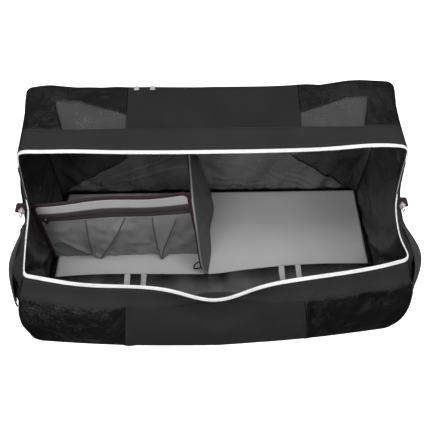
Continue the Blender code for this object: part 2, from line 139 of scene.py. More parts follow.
class Sheet:
    """A cloth surface on a grid of points (rows, columns, 3), read back at any u, v from 0 to 1. facing is 1
    where the grid's own normal points out of the bag, and -1 where it points in."""

    def __init__(self, points, facing=1):
        self.points = points
        self.facing = facing

    def at(self, u, v):
        u, v = np.broadcast_arrays(np.clip(u, 0, 1), np.clip(v, 0, 1))
        rows, columns = self.points.shape[:2]
        j, i = v * (rows - 1), u * (columns - 1)
        row, column = np.minimum(j.astype(int), rows - 2), np.minimum(i.astype(int), columns - 2)
        flat = self.points.reshape(rows * columns, -1)
        lines = []
        for k in (-1, 0, 1, 2):
            this = np.clip(row + k, 0, rows - 1) * columns
            four = [flat[this + np.clip(column + m, 0, columns - 1)] for m in (-1, 0, 1, 2)]
            lines.append(cubic(*four, i - column))
        return cubic(*lines, j - row)

    def normal(self, u, v, gap=0.004):
        along = self.at(u + gap, v) - self.at(u - gap, v)
        up = self.at(u, v + gap) - self.at(u, v - gap)
        return self.facing * unit(np.cross(along, up))


def cubic(p0, p1, p2, p3, t):
    """Smooth curve through p1 and p2, with p0 and p3 on either side."""
    t = t[..., None]
    return p1 + 0.5 * t * (p2 - p0 + t * (2 * p0 - 5 * p1 + 4 * p2 - p3 + t * (3 * (p1 - p2) + p3 - p0)))


def sheet_of(surface, columns, rows, facing=1):
    v, u = np.mgrid[0 : 1 : rows * 1j, 0 : 1 : columns * 1j]
    return Sheet(surface(u, v), facing)


def buckle(sheet, grow, most, share, frames=16, seed=1):
    """Cloth simulation: the sheet, held all round, is cut larger by grow, so it wrinkles. No point moves over
    most metres, and share(u, v) says how much of the move each part of the sheet keeps."""
    rows, columns = sheet.points.shape[:2]
    v, u = np.mgrid[0 : 1 : rows * 1j, 0 : 1 : columns * 1j]
    coarse = Sheet(np.random.default_rng(seed).normal(0, 0.0012, (rows // 5, columns // 5, 1)))
    rough = coarse.at(u, v) * sheet.normal(u, v)
    inside = (u > 0) & (u < 1) & (v > 0) & (v < 1)
    start = sheet.points + rough * inside[..., None]
    index = np.arange(rows * columns).reshape(rows, columns)
    mesh = bpy.data.meshes.new("cloth")
    mesh.from_pydata(start.reshape(-1, 3).tolist(), [], grid_faces(index).tolist())
    obj = bpy.data.objects.new("cloth", mesh)
    bpy.context.scene.collection.objects.link(obj)
    held = obj.vertex_groups.new(name="held")
    held.add(index[~inside].tolist(), 1.0, "REPLACE")
    cloth = obj.modifiers.new("Cloth", "CLOTH")
    settings = cloth.settings
    settings.quality = 6
    settings.mass = 0.2
    settings.tension_stiffness = settings.compression_stiffness = 15
    settings.shear_stiffness = 8
    settings.bending_stiffness = 2.5
    settings.vertex_group_mass = "held"
    settings.shrink_min = -grow
    settings.effector_weights.gravity = 0
    cloth.collision_settings.use_collision = False
    cloth.point_cache.frame_start, cloth.point_cache.frame_end = 1, frames
    scene = bpy.context.scene
    for number in range(1, frames + 1):
        scene.frame_set(number)
    done = obj.evaluated_get(bpy.context.evaluated_depsgraph_get()).data
    after = np.empty(rows * columns * 3, np.float32)
    done.vertices.foreach_get("co", after)
    scene.frame_set(1)
    bpy.data.objects.remove(obj)
    move = after.reshape(rows, columns, 3).astype(float) - sheet.points
    length = np.linalg.norm(move, axis=-1, keepdims=True)
    move *= np.minimum(1, most / np.maximum(length, 1e-9)) * share(u, v)[..., None]
    return Sheet(sheet.points + move, sheet.facing)


# ---------------------------------------------------------------- the bag's shape


def fill_out(points):
    """The lower front corners swell sideways."""
    x, y, z = points[..., 0], points[..., 1], points[..., 2]
    belly = np.where(x < 0, LEFT_BELLY, RIGHT_BELLY)
    swell = belly * bell(y, BELLY_Y, 0.09) * bell(z, BELLY_Z, 0.10) * smooth(0.34, HALF, np.abs(x))
    return points + np.stack([np.sign(x) * swell, 0 * y, 0 * z], -1)


def corner_drop(x, radius):
    """How far the skin has turned inwards near either end, as it rounds the corner."""
    t = np.clip((np.abs(x) - (HALF - radius)) / radius, 0, 1)
    return radius * (1 - np.sqrt(np.maximum(0, 1 - 0.985 * t * t)))


def lip_y(x):
    bow = LIP_CROWN * (1 - (x / HALF) ** 2) + 0.007 * bell(x, -0.32, 0.10) - 0.004 * bell(x, 0.24, 0.12)
    return LIP_END_Y - bow - LIP_PEAK * bell(x, 0, LIP_PEAK_WIDTH) + LIP_SKEW * x


def lip_z(x):
    return LIP_Z + 0.010 * bell(x, HALF, 0.06)


def front_surface(u, s):
    """The front half of the top, which stands slumped from the ground (s 0) up to its lip (s 1)."""
    x = lerp(-HALF, HALF, u)
    x = x + 0.018 * s * s * smooth(-0.30, -HALF, x)
    foot = FOOT_END_Y - FOOT_CROWN * (1 - (x / HALF) ** 2) + FOOT_SKEW * x
    y = foot + (lip_y(x) - foot) * s - FRONT_BULGE * 6.75 * s * (1 - s) ** 2
    rolled = bell(x, 0.004, 0.095)
    y = y + ROLL_DEPTH * rolled * bell(s, 0.78, 0.15)
    y = y + corner_drop(x, FRONT_CORNER)
    z = lip_z(x) * s + 0.0015
    return fill_out(np.stack([x, y, z], -1))


FLAP_STRAIGHT = FLAP_DEPTH - 1.134 * TOP_EDGE_RADIUS
EDGE_Z = HINGE_Z + TOP_EDGE_LIFT - TOP_EDGE_RADIUS
EDGE_TURN = pi / 2 + FLAP_DROOP
BACK_LENGTHS = (EDGE_Z - 0.002, TOP_EDGE_RADIUS * EDGE_TURN, FLAP_STRAIGHT)
BACK_LENGTH = sum(BACK_LENGTHS)


def back_v(from_lip):
    """v of a line on the back sheet, from its distance to the lip."""
    return 1 - from_lip / BACK_LENGTH


def wall_v(z):
    """v of a height on the back wall."""
    return (z - 0.002) / BACK_LENGTH


def back_surface(u, v):
    """The back wall, the rounded top edge and the rear half of the top, in one run of cloth."""
    x = lerp(-HALF, HALF, u)
    d = v * BACK_LENGTH
    wall = np.minimum(d, BACK_LENGTHS[0])
    turn = np.clip(d - BACK_LENGTHS[0], 0, BACK_LENGTHS[1]) / TOP_EDGE_RADIUS
    flap = np.clip(d - BACK_LENGTHS[0] - BACK_LENGTHS[1], 0, None)
    out_y, out_z = np.cos(turn), np.sin(turn)
    y = WALL_Y - TOP_EDGE_RADIUS + TOP_EDGE_RADIUS * out_y - flap * cos(FLAP_DROOP)
    z = 0.002 + wall + TOP_EDGE_RADIUS * out_z - flap * sin(FLAP_DROOP)
    along = np.sin(pi * (x + HALF) / (2 * HALF))
    on_wall = np.sin(pi * np.clip(d / BACK_LENGTHS[0], 0, 1))
    on_flap = np.sin(pi * np.clip(flap / FLAP_STRAIGHT, 0, 1))
    y = y - 0.006 * on_wall * along
    z = z - 0.007 * on_flap * (0.4 + 0.6 * bell(np.abs(x), 0.31, 0.09))
    near_edge = bell(d, BACK_LENGTHS[0] + BACK_LENGTHS[1] / 2, 0.055)
    ridge = 0.0085 * bell(x, -0.390, 0.050) + 0.002 * bell(x, -0.16, 0.05) + 0.003 * bell(x, 0.2, 0.06)
    z = z + near_edge * (ridge + 0.0150 * bell(x, 0.360, 0.085) + 0.003 * bell(x, 0.43, 0.03))
    drop = corner_drop(x, BACK_CORNER)
    near_lip = smooth(0.03, 0, FLAP_STRAIGHT - flap)
    y = y + near_lip * (0.011 * bell(x, 0.38, 0.09) + 0.004 * bell(x, -0.34, 0.08))
    reach = flap / FLAP_STRAIGHT
    y = y - reach * 0.0085 * (1 - 0.35 * smooth(0.05, 0.30, np.abs(x)) - 0.45 * smooth(-0.36, -HALF, x))
    x = x + 0.006 * reach * smooth(0.32, HALF, x)
    return fill_out(np.stack([x, y - drop * out_y, z - drop * out_z], -1))


def line_through(points, count):
    """Evenly spaced points on a smooth line through the points given."""
    points = np.array(points, float)
    t = np.linspace(0, len(points) - 1, 200)
    i = np.minimum(t.astype(int), len(points) - 2)
    last = len(points) - 1
    near = [points[np.clip(i + k, 0, last)] for k in (-1, 0, 1, 2)]
    return spaced(cubic(*near, t - i), count)


def lengths_along(line):
    """How far each point of a line is from its start."""
    return np.concatenate([[0], np.cumsum(np.linalg.norm(np.diff(line, axis=0), axis=1))])


def spaced(line, count):
    """Evenly spaced points on a line."""
    along = lengths_along(line)
    at = np.linspace(0, along[-1], count)
    return np.stack([np.interp(at, along, line[:, k]) for k in range(3)], 1)


def length_of(line):
    return float(np.linalg.norm(np.diff(line, axis=0), axis=1).sum())


class End:
    """One end of the bag: a patch between the front, the back wall, the ground and the opening's edge."""

    def __init__(self, side, front, back):
        u = 0.0 if side < 0 else 1.0
        s = np.linspace(0, 1, 60)
        before = front.at(u, s)
        edge_v = back_v(FLAP_DEPTH)
        behind = back.at(u, s * edge_v)
        flap = back.at(u, lerp(1, edge_v, s))
        dip = (side * 0.4395, -0.104, 0.2525)
        zip_end = (side * 0.4370, ZIP_END[0], ZIP_END[1] + 0.003)
        middle = (side * 0.4420, -0.003, 0.331)
        run = line_through([before[-1], dip, zip_end, middle, flap[0]], 80)
        self.zip_length, flap_length = length_of(run), length_of(flap)
        top = spaced(np.concatenate([run, flap[1:]]), 60)
        bottom = spaced(np.stack([before[0], behind[0]]), 60)
        self.lip_u = self.zip_length / (self.zip_length + flap_length)
        b, a = np.meshgrid(s, s)
        up, back_share = a[..., None], b[..., None]
        patch = lerp(bottom[None, :], top[None, :], up) + lerp(before[:, None], behind[:, None], back_share)
        corner = lerp(lerp(bottom[0], bottom[-1], back_share), lerp(top[0], top[-1], back_share), up)
        points = patch - corner
        swell = (LEFT_SWELL if side < 0 else RIGHT_SWELL) * bell(b, 0.19, 0.16) * smooth(0, 0.14, b)
        points[..., 0] += side * (swell + 0.004 * np.sin(pi * b)) * (1 - (2 * a - 1) ** 4)
        self.sheet = Sheet(points, side)
        self.side = side

    def depth_v(self, u, depth):
        """v of a line that runs this deep below the opening's edge."""
        upper_part = self.sheet.at(u, np.float64(1.0)) - self.sheet.at(u, np.float64(0.6))
        return 1 - depth / (np.linalg.norm(upper_part, axis=-1) / 0.4)


# ---------------------------------------------------------------- meshes


def mesh_piece(name, points, faces, materials, uv=None, slots=None, smooth_angle=None):
    mesh = bpy.data.meshes.new(name)
    mesh.from_pydata(np.asarray(points, float).tolist(), [], [list(map(int, f)) for f in faces])
    if uv is not None:
        layer = mesh.uv_layers.new(name="cloth")
        loops = np.empty(len(mesh.loops), np.int32)
        mesh.loops.foreach_get("vertex_index", loops)
        layer.data.foreach_set("uv", np.asarray(uv, np.float32)[loops].ravel())
    for material in materials:
        mesh.materials.append(material)
    if slots is not None:
        mesh.polygons.foreach_set("material_index", np.asarray(slots, np.int32))
    mesh.shade_smooth()
    if smooth_angle:
        mesh.set_sharp_from_angle(angle=radians(smooth_angle))
    obj = bpy.data.objects.new(name, mesh)
    bpy.context.scene.collection.objects.link(obj)
    return obj


def panel(name, sheet, nodes, cells, materials, thickness, lift=0.0, step=STEP):
    """Cloth cut from a sheet. nodes is a table of (u, v) corners, and cells the (row, column) ones to keep.
    materials gives the outer face's and then the inner face's."""
    nodes = np.array(nodes, float)
    spots = sheet.at(nodes[..., 0], nodes[..., 1])
    across = np.linalg.norm(np.diff(spots, axis=1), axis=-1).max(0)
    along = np.linalg.norm(np.diff(spots, axis=0), axis=-1).max(1)
    n_across = np.maximum(1, np.ceil(across / step).astype(int))
    n_along = np.maximum(1, np.ceil(along / step).astype(int))
    params, quads = [], []
    total = 0
    for r, c in cells:
        t, s = np.mgrid[0 : 1 : (n_along[r] + 1) * 1j, 0 : 1 : (n_across[c] + 1) * 1j]
        low = lerp(nodes[r, c], nodes[r, c + 1], s[..., None])
        high = lerp(nodes[r + 1, c], nodes[r + 1, c + 1], s[..., None])
        params.append(lerp(low, high, t[..., None]).reshape(-1, 2))
        index = total + np.arange(t.size).reshape(t.shape)
        quads.append(grid_faces(index))
        total += t.size
    params, quads = np.concatenate(params), np.concatenate(quads)
    _, first, back = np.unique(np.round(params * 1e6), axis=0, return_index=True, return_inverse=True)
    params, quads = params[first], back.reshape(-1)[quads]
    points = sheet.at(params[:, 0], params[:, 1])
    if lift:
        points = points + sheet.normal(params[:, 0], params[:, 1]) * lift
    size = (length_of(sheet.points[-1]), length_of(sheet.points[:, 0]))
    obj = mesh_piece(name, points, quads, materials[:: sheet.facing], params * size)
    wall = obj.modifiers.new("Thickness", "SOLIDIFY")
    wall.thickness = thickness
    wall.offset = 0
    if len(materials) > 1:
        wall.material_offset = 1
    return obj


def plain_panel(name, sheet, materials, thickness, u=(0.0, 1.0), v=(0.0, 1.0), **more):
    """A panel between two u and two v values of a sheet."""
    nodes = [[(u[0], height), (u[1], height)] for height in v]
    return panel(name, sheet, nodes, [(0, 0)], materials, thickness, **more)


def frames_on(sheet, path, step=0.004, lift=0.0):
    """Places, directions, normals and sides along a path of (u, v) points on a sheet."""
    path = np.array(path, float)
    t = np.linspace(0, len(path) - 1, 40 * (len(path) - 1) + 1)
    i = np.minimum(t.astype(int), len(path) - 2)
    dense = lerp(path[i], path[i + 1], (t - i)[:, None])
    places = sheet.at(dense[:, 0], dense[:, 1])
    along = lengths_along(places)
    count = max(2, int(round(along[-1] / step)) + 1)
    at = np.linspace(0, along[-1], count)
    u, v = np.interp(at, along, dense[:, 0]), np.interp(at, along, dense[:, 1])
    normals = sheet.normal(u, v)
    places = sheet.at(u, v) + normals * lift
    return frame_line(places, normals)


def frame_line(places, normals):
    """The places, directions, normals and sides of a line."""
    ways = unit(np.gradient(places, axis=0))
    sides = unit(np.cross(normals, ways))
    return places, ways, unit(np.cross(ways, sides)), sides


def flat_line(line, normal):
    """frame_line with one normal all along."""
    return frame_line(line, np.tile(np.array(normal, float), (len(line), 1)))


def joined(lines):
    """Several framed lines, one after another."""
    return [np.concatenate(values) for values in zip(*lines)]


def sweep(name, line, profile, materials, closed_ends=True):
    """A strip, tape or cord: a closed profile of (side, normal) offsets carried along a line."""
    places, _, normals, sides = line
    profile = np.array(profile, float)
    rings = places[:, None] + sides[:, None] * profile[None, :, :1] + normals[:, None] * profile[None, :, 1:]
    count, turn = rings.shape[:2]
    index = np.arange(count * turn).reshape(count, turn)
    after = np.roll(index, -1, axis=1)
    faces = np.stack([index[:-1], after[:-1], after[1:], index[1:]], -1).reshape(-1, 4).tolist()
    if closed_ends:
        faces += [index[0][::-1].tolist(), index[-1].tolist()]
    around, along = lengths_along(profile)[None, :], lengths_along(places)[:, None]
    uv = np.stack(np.broadcast_arrays(around, along), -1).reshape(-1, 2)
    return mesh_piece(name, rings.reshape(-1, 3), faces, materials, uv, smooth_angle=50)


def tape_profile(width, thickness):
    """Cross-section of a flat tape with soft edges."""
    w, h = width / 2, thickness / 2
    right = [(w - h, -h), (w - 0.3 * h, -0.7 * h), (w, 0), (w - 0.3 * h, 0.7 * h), (w - h, h)]
    return right + [(0, h)] + [(-x, z) for x, z in right[::-1]] + [(0, -h)]


def round_profile(radius, sides=8):
    return [(radius * cos(2 * pi * k / sides), radius * sin(2 * pi * k / sides)) for k in range(sides)]


def beads(name, places, ways, normals, sides, size, materials, shape=6):
    """Many small rounded bars, such as stitches or zip teeth. size is (along ways, along sides, along
    normals)."""
    length, width, height = size
    stations = [(-0.5, 0.45), (-0.32, 1.0), (0.32, 1.0), (0.5, 0.45)]
    points, faces, total = [], [], 0
    for place, way, normal, side in zip(places, ways, normals, sides):
        for t, share in stations:
            for k in range(shape):
                angle = 2 * pi * k / shape
                spot = side * (cos(angle) * width / 2 * share) + normal * (sin(angle) * height / 2 * share)
                points.append(place + way * (t * length) + spot)
        for ring in range(len(stations) - 1):
            base = total + ring * shape
            for k in range(shape):
                follow = (k + 1) % shape
                faces.append((base + k, base + follow, base + shape + follow, base + shape + k))
        faces.append(tuple(total + k for k in range(shape))[::-1])
        faces.append(tuple(total + (len(stations) - 1) * shape + k for k in range(shape)))
        total += shape * len(stations)
    return mesh_piece(name, np.array(points), faces, materials)


def stitch_rows(name, rows, material, pitch=0.0048, length=0.0034, thread=0.0008):
    """Rows of stitches. Each row is (sheet, path, lift)."""
    lines = [frames_on(sheet, path, pitch, lift) for sheet, path, lift in rows]
    return beads(name, *joined(lines), (length, thread, thread), [material], shape=5)


# ---------------------------------------------------------------- materials


class Nodes:
    """A material's node tree, with short calls for the nodes that cloth needs."""

    def __init__(self, name):
        self.material = bpy.data.materials.new(name)
        self.material.use_nodes = True
        self.tree = self.material.node_tree
        self.shader = self.tree.nodes["Principled BSDF"]
        self.object = self.add("ShaderNodeTexCoord").outputs["Object"]
        uv = self.add("ShaderNodeUVMap")
        uv.uv_map = "cloth"
        self.uv = uv.outputs["UV"]

    def add(self, kind, **values):
        node = self.tree.nodes.new(kind)
        for key, value in values.items():
            setattr(node, key, value)
        return node

    def link(self, value, socket):
        if isinstance(value, bpy.types.NodeSocket):
            self.tree.links.new(value, socket)
        else:
            socket.default_value = value

    def noise(self, scale, detail=3.0, roughness=0.5, distortion=0.0):
        node = self.add("ShaderNodeTexNoise")
        self.link(self.object, node.inputs["Vector"])
        values = {"Scale": scale, "Detail": detail, "Roughness": roughness, "Distortion": distortion}
        for socket, value in values.items():
            node.inputs[socket].default_value = value
        return node.outputs["Fac"]

    def maths(self, operation, a, b=0.0):
        node = self.add("ShaderNodeMath", operation=operation)
        self.link(a, node.inputs[0])
        self.link(b, node.inputs[1])
        return node.outputs[0]

    def waves(self, period, direction, turn=0.0):
        """Soft parallel ridges, from 0 to 1, on the cloth's own coordinates."""
        mapping = self.add("ShaderNodeMapping")
        self.link(self.uv, mapping.inputs["Vector"])
        mapping.inputs["Rotation"].default_value[2] = turn
        node = self.add("ShaderNodeTexWave", wave_type="BANDS", bands_direction=direction)
        self.link(mapping.outputs[0], node.inputs["Vector"])
        node.inputs["Scale"].default_value = 0.314159 / period
        return node.outputs["Fac"]

    def range(self, value, low, high, to_low, to_high):
        node = self.add("ShaderNodeMapRange")
        self.link(value, node.inputs["Value"])
        for socket, number in zip(("From Min", "From Max", "To Min", "To Max"), (low, high, to_low, to_high)):
            node.inputs[socket].default_value = number
        return node.outputs[0]

    def mix(self, factor, a, b):
        node = self.add("ShaderNodeMix", data_type="RGBA")
        self.link(factor, node.inputs["Factor"])
        for value, socket in ((a, node.inputs["A"]), (b, node.inputs["B"])):
            self.link(value if isinstance(value, bpy.types.NodeSocket) else (*value, 1.0), socket)
        return node.outputs["Result"]

    def bump(self, height, distance, strength=1.0, under=None):
        node = self.add("ShaderNodeBump")
        self.link(height, node.inputs["Height"])
        node.inputs["Distance"].default_value = distance
        node.inputs["Strength"].default_value = strength
        if under:
            self.link(under, node.inputs["Normal"])
        return node.outputs[0]

    def finish(self, **sockets):
        for name, value in sockets.items():
            self.link(value, self.shader.inputs[name.replace("_", " ").title().replace("Ior", "IOR")])
        return self.material


def shade(colour, by):
    return tuple(min(1.0, c * by) for c in colour)


def woven(name, colour, roughness, thread=0.0011, crease=0.0012, specular=0.35, sheen=0.0, worn=0.2):
    """Plain-weave cloth: crossing threads, faint creases and uneven wear."""
    n = Nodes(name)
    threads = n.maths("MULTIPLY", n.waves(thread, "X"), n.waves(thread, "Y"))
    wear = n.noise(9.0, 5.0, 0.65)
    tone = n.mix(n.range(wear, 0.3, 0.75, 0, 1), shade(colour, 1 - worn), shade(colour, 1 + worn))
    tone = n.mix(n.range(threads, 0.0, 0.6, 0.22, 0.0), tone, shade(colour, 0.35))
    folds = n.noise(34.0, 4.0, 0.55, 0.6)
    normal = n.bump(threads, 0.00012, 1.0, n.bump(folds, crease))
    n.shader.inputs["Sheen Weight"].default_value = sheen
    n.shader.inputs["Sheen Roughness"].default_value = 0.5
    return n.finish(
        base_color=tone,
        roughness=n.range(wear, 0.2, 0.8, roughness - 0.07, roughness + 0.07),
        specular_ior_level=specular,
        normal=normal,
    )


def coated(name, colour, roughness=0.30, specular=0.30, crease=0.0030):
    """Coated nylon: a shiny skin that takes sharp creases, dulled where it has rubbed."""
    n = Nodes(name)
    smear = n.noise(7.0, 6.0, 0.6, 0.8)
    crumple = n.noise(30.0, 5.0, 0.62, 1.6)
    ridges = n.maths("ABSOLUTE", n.maths("SUBTRACT", crumple, 0.5))
    fine = n.noise(160.0, 2.0, 0.5)
    ripstop = n.maths("MAXIMUM", n.waves(0.0055, "X"), n.waves(0.0055, "Y"))
    grid = n.range(ripstop, 0.93, 1.0, 0.0, 1.0)
    tone = n.mix(n.range(smear, 0.40, 0.78, 0, 1), shade(colour, 0.75), shade(colour, 1.9))
    tone = n.mix(n.maths("MULTIPLY", grid, 0.25), tone, shade(colour, 2.2))
    normal = n.bump(ridges, crease, 1.0)
    normal = n.bump(fine, 0.0003, 0.6, normal)
    normal = n.bump(grid, 0.00008, 0.8, normal)
    return n.finish(
        base_color=tone,
        roughness=n.range(smear, 0.25, 0.8, roughness - 0.08, roughness + 0.16),
        specular_ior_level=specular,
        normal=normal,
    )


def netting(name, colour, hole=0.0026, open_share=0.50, rows=0.0):
    """Open knitted mesh: slanting rows of small holes. rows is how strongly wider rows of knitting show."""
    n = Nodes(name)
    one, two = n.waves(hole, "X", radians(28)), n.waves(hole, "X", radians(-62))
    cell = n.maths("MULTIPLY", one, two)
    solid = n.range(cell, open_share, open_share - 0.12, 0.0, 1.0)
    wear = n.noise(14.0, 4.0)
    tone = n.mix(n.range(wear, 0.3, 0.7, 0, 1), shade(colour, 0.8), shade(colour, 1.25))
    tone = n.mix(n.range(cell, 0.0, 0.3, 0.35, 0.0), tone, shade(colour, 0.4))
    tone = n.mix(n.range(n.waves(0.0062, "X", radians(38)), 0.2, 0.8, rows, 0.0), tone, shade(colour, 0.35))
    folds = n.noise(30.0, 3.0)
    normal = n.bump(cell, 0.0003, 0.9, n.bump(folds, 0.0010))
    return n.finish(base_color=tone, roughness=0.7, specular_ior_level=0.3, alpha=solid, normal=normal)


def webbing(name, colour, rib=0.0021, roughness=0.66):
    """Heavy webbing: chevron ribs along its length."""
    n = Nodes(name)
    ribs = n.maths("MULTIPLY", n.waves(rib, "Y", radians(24)), n.waves(rib, "Y", radians(-24)))
    wear = n.noise(22.0, 5.0, 0.6)
    tone = n.mix(n.range(wear, 0.3, 0.75, 0, 1), shade(colour, 0.8), shade(colour, 1.5))
    tone = n.mix(n.range(ribs, 0.0, 0.5, 0.45, 0.0), tone, shade(colour, 0.35))
    normal = n.bump(ribs, 0.00035)
    n.shader.inputs["Sheen Weight"].default_value = 0.08
    return n.finish(base_color=tone, roughness=roughness, specular_ior_level=0.3, normal=normal)


def moulded(name, colour, roughness, metallic=0.0, specular=0.5):
    """Cast metal or moulded plastic: a slightly uneven, handled surface."""
    n = Nodes(name)
    wear = n.noise(90.0, 5.0, 0.6)
    tone = n.mix(n.range(wear, 0.35, 0.75, 0, 1), shade(colour, 0.85), shade(colour, 1.12))
    n.shader.inputs["Metallic"].default_value = metallic
    return n.finish(
        base_color=tone,
        roughness=n.range(wear, 0.2, 0.8, roughness - 0.06, roughness + 0.08),
        specular_ior_level=specular,
        normal=n.bump(n.noise(500.0, 3.0), 0.0001, 0.6),
    )


def make_materials():
    return {
        "coated": coated("coated_black", (0.0036, 0.0036, 0.0040), 0.22, 0.17, 0.0060),
        "inside": coated("inside_coating", (0.0260, 0.0260, 0.0268), 0.28, 0.7, 0.0028),
        "inner": coated("inner_lining", (0.1000, 0.1000, 0.1010), 0.26, 0.8, 0.0014),
        # fold_lining_painted_light is the inner coating painted lighter: painted light that makes up for the
        # lip's shadow on the folded front wall
        "fold": coated("fold_lining_painted_light", (0.0900, 0.0900, 0.0910), 0.30, 0.8, 0.0022),
        "matte": woven("matte_charcoal", (0.0185, 0.0185, 0.0193), 0.85, specular=0.12, sheen=0.02),
        "band": woven("band_charcoal", (0.027, 0.027, 0.0282), 0.88, thread=0.0014, specular=0.12, worn=0.12),
        "lining": woven("grey_lining", (0.455, 0.455, 0.457), 0.80, crease=0.0002, specular=0.15, worn=0.05),
        "edging": woven("grey_edging", (0.240, 0.240, 0.244), 0.75, specular=0.2),
        # Dark strips for the pocket mesh's creases: partly the doubled mesh, partly painted crease shade
        "doubled_mesh_shade": woven("doubled_mesh_and_shade", (0.110, 0.110, 0.112), 0.80, specular=0.15),
        "ply": woven("pocket_ply", (0.420, 0.420, 0.424), 0.78, thread=0.0010, specular=0.25),
        "divider": woven("divider_grey", (0.088, 0.09, 0.09), 0.55, 0.0009, crease=0.002, specular=0.5),
        "window": netting("window_mesh", (0.064, 0.064, 0.066), 0.0025, 0.62, 0.5),
        "pocket": netting("pocket_mesh", (0.300, 0.300, 0.302), 0.0026, 0.42),
        "zip": woven("white_zip_tape", (0.90, 0.90, 0.90), 0.60, thread=0.0009, crease=0.0002, specular=0.3),
        "coil": moulded("white_coil", (0.92, 0.92, 0.92), 0.35),
        "binding": woven("maroon_binding", (0.034, 0.016, 0.020), 0.75, thread=0.0012, specular=0.25),
        "zip_band": woven("maroon_zip_band", (0.052, 0.040, 0.043), 0.75, thread=0.0012, specular=0.25),
        "dark_coil": moulded("dark_coil", (0.020, 0.016, 0.018), 0.45),
        "webbing": webbing("black_webbing", (0.034, 0.032, 0.034)),
        "thread": woven("dark_thread", (0.050, 0.050, 0.052), 0.6, thread=0.0004, crease=0.0001),
        "pale_thread": woven("pale_thread", (0.50, 0.50, 0.50), 0.6, thread=0.0006, crease=0.0001),
        "metal": moulded("dark_metal", (0.045, 0.045, 0.048), 0.36, 0.8),
        "pale": moulded("pale_metal", (0.66, 0.56, 0.56), 0.32, 0.6),
    }


# ---------------------------------------------------------------- scene


def make_camera():
    """Looks down on the bag from the front, a little turned and tilted."""
    pitch, yaw, roll = radians(55.034), radians(2.4425), radians(1.1129)
    data = bpy.data.cameras.new("camera")
    data.sensor_width = 36
    data.lens = 44.32
    camera = bpy.data.objects.new("camera", data)
    forward = Vector((sin(yaw) * cos(pitch), cos(yaw) * cos(pitch), -sin(pitch)))
    level = Vector((cos(yaw), -sin(yaw), 0))
    upright = level.cross(forward)
    right = level * cos(roll) + upright * sin(roll)
    up = upright * cos(roll) - level * sin(roll)
    turn = Matrix((right, up, -forward)).transposed()
    camera.matrix_world = Matrix.Translation((-0.0277, -0.7749, 1.3048)) @ turn.to_4x4()
    bpy.context.scene.collection.objects.link(camera)
    bpy.context.scene.camera = camera


def area_light(name, place, target, size, power):
    data = bpy.data.lights.new(name, "AREA")
    data.shape = "RECTANGLE"
    data.size, data.size_y = size
    data.energy = power
    light = bpy.data.objects.new(name, data)
    light.location = place
    light.rotation_euler = (Vector(target) - Vector(place)).to_track_quat("-Z", "Y").to_euler()
    bpy.context.scene.collection.objects.link(light)


FLOOR_HALF = 6.0


def make_studio():
    scene = bpy.context.scene
    scene.view_settings.view_transform = "Standard"
    world = bpy.data.worlds.new("studio")
    world.use_nodes = True
    tree = world.node_tree
    where = tree.nodes.new("ShaderNodeTexCoord")
    split = tree.nodes.new("ShaderNodeSeparateXYZ")
    fade = tree.nodes.new("ShaderNodeMapRange")
    fade.inputs["From Min"].default_value, fade.inputs["From Max"].default_value = -0.1, 0.9
    fade.inputs["To Min"].default_value, fade.inputs["To Max"].default_value = 0.08, 0.52
    tree.links.new(where.outputs["Generated"], split.inputs[0])
    tree.links.new(split.outputs["Z"], fade.inputs["Value"])
    tree.links.new(fade.outputs[0], tree.nodes["Background"].inputs["Color"])
    scene.world = world
    area_light("key", (-0.9, -1.7, 2.3), (0, 0, 0.1), (1.2, 1.2), 33)
    area_light("fill", (1.4, -1.1, 2.1), (0, 0, 0.1), (1.2, 1.2), 18)
    area_light("top", (0.0, -0.1, 2.9), (0, 0, 0.1), (1.6, 0.8), 26)
    area_light("low", (-0.9, -2.5, 0.6), (0, 0, 0.15), (1.4, 0.5), 20)
    floor_look = Nodes("pale_floor")
    tone = floor_look.mix(floor_look.noise(3.0), (0.93, 0.93, 0.93), (0.96, 0.96, 0.96))
    floor_look.finish(base_color=tone, roughness=0.9, specular_ior_level=0.1)
    floor_look.shader.inputs["Emission Color"].default_value = (1, 1, 1, 1)
    floor_look.shader.inputs["Emission Strength"].default_value = 0.8
    corners = [(x * FLOOR_HALF, y * FLOOR_HALF, 0) for x, y in ((-1, -1), (1, -1), (1, 1), (-1, 1))]
    floor = mesh_piece("studio_floor", corners, [(0, 1, 2, 3)], [floor_look.material])
    floor.location.z = -0.0005
    floor.visible_glossy = floor.visible_diffuse = False


# ---------------------------------------------------------------- pieces


def finish_piece(obj, body, slot, *nodes):
    if body:
        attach(obj, body)
    if nodes:
        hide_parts(*nodes)
    return obj


def follow_flap(obj, slot, *nodes):
    """The cloth over the top edge: its transform is baked into its points and the parts it replaces are
    hidden; nothing makes it swing with the flap.
    """
    start, end = (0, HINGE_Y, HINGE_Z - 0.020), (0, HINGE_Y - 0.026, HINGE_Z)
    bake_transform(obj)
    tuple(start)
    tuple(end)
    return finish_piece(obj, None, slot, *nodes)


def follow_end(obj, slot, *nodes):
    """An end's cloth: its transform is baked into its points and the parts it replaces are hidden; nothing
    ties it to the flap or fades it to the shell.
    """
    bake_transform(obj)
    return finish_piece(obj, None, slot, *nodes)


def u_at(x):
    return (x + HALF) / (2 * HALF)


def panel_rows(sheet, uprights, heights):
    """Stitches: a pair of rows on each upright seam, and one row along the band at each height."""
    rows = []
    for (low, low_v), (high, high_v) in uprights:
        for shift in TWIN_STITCHES:
            rows.append((sheet, [(low + shift, low_v), (high + shift, high_v)], STITCH_LIFT))
    return rows + [(sheet, [(0.004, v), (0.996, v)], BAND_STITCH_LIFT) for v in heights]


def band_seam(word, sheet, band_v, mats):
    """The raised seam below the band along the opening."""
    line = frames_on(sheet, [(0.001, band_v), (0.999, band_v)], 0.006, SEAM_LIFT)
    return sweep(f"{word}_band_seam", line, tape_profile(0.0036, 0.0022), [mats["band"]])


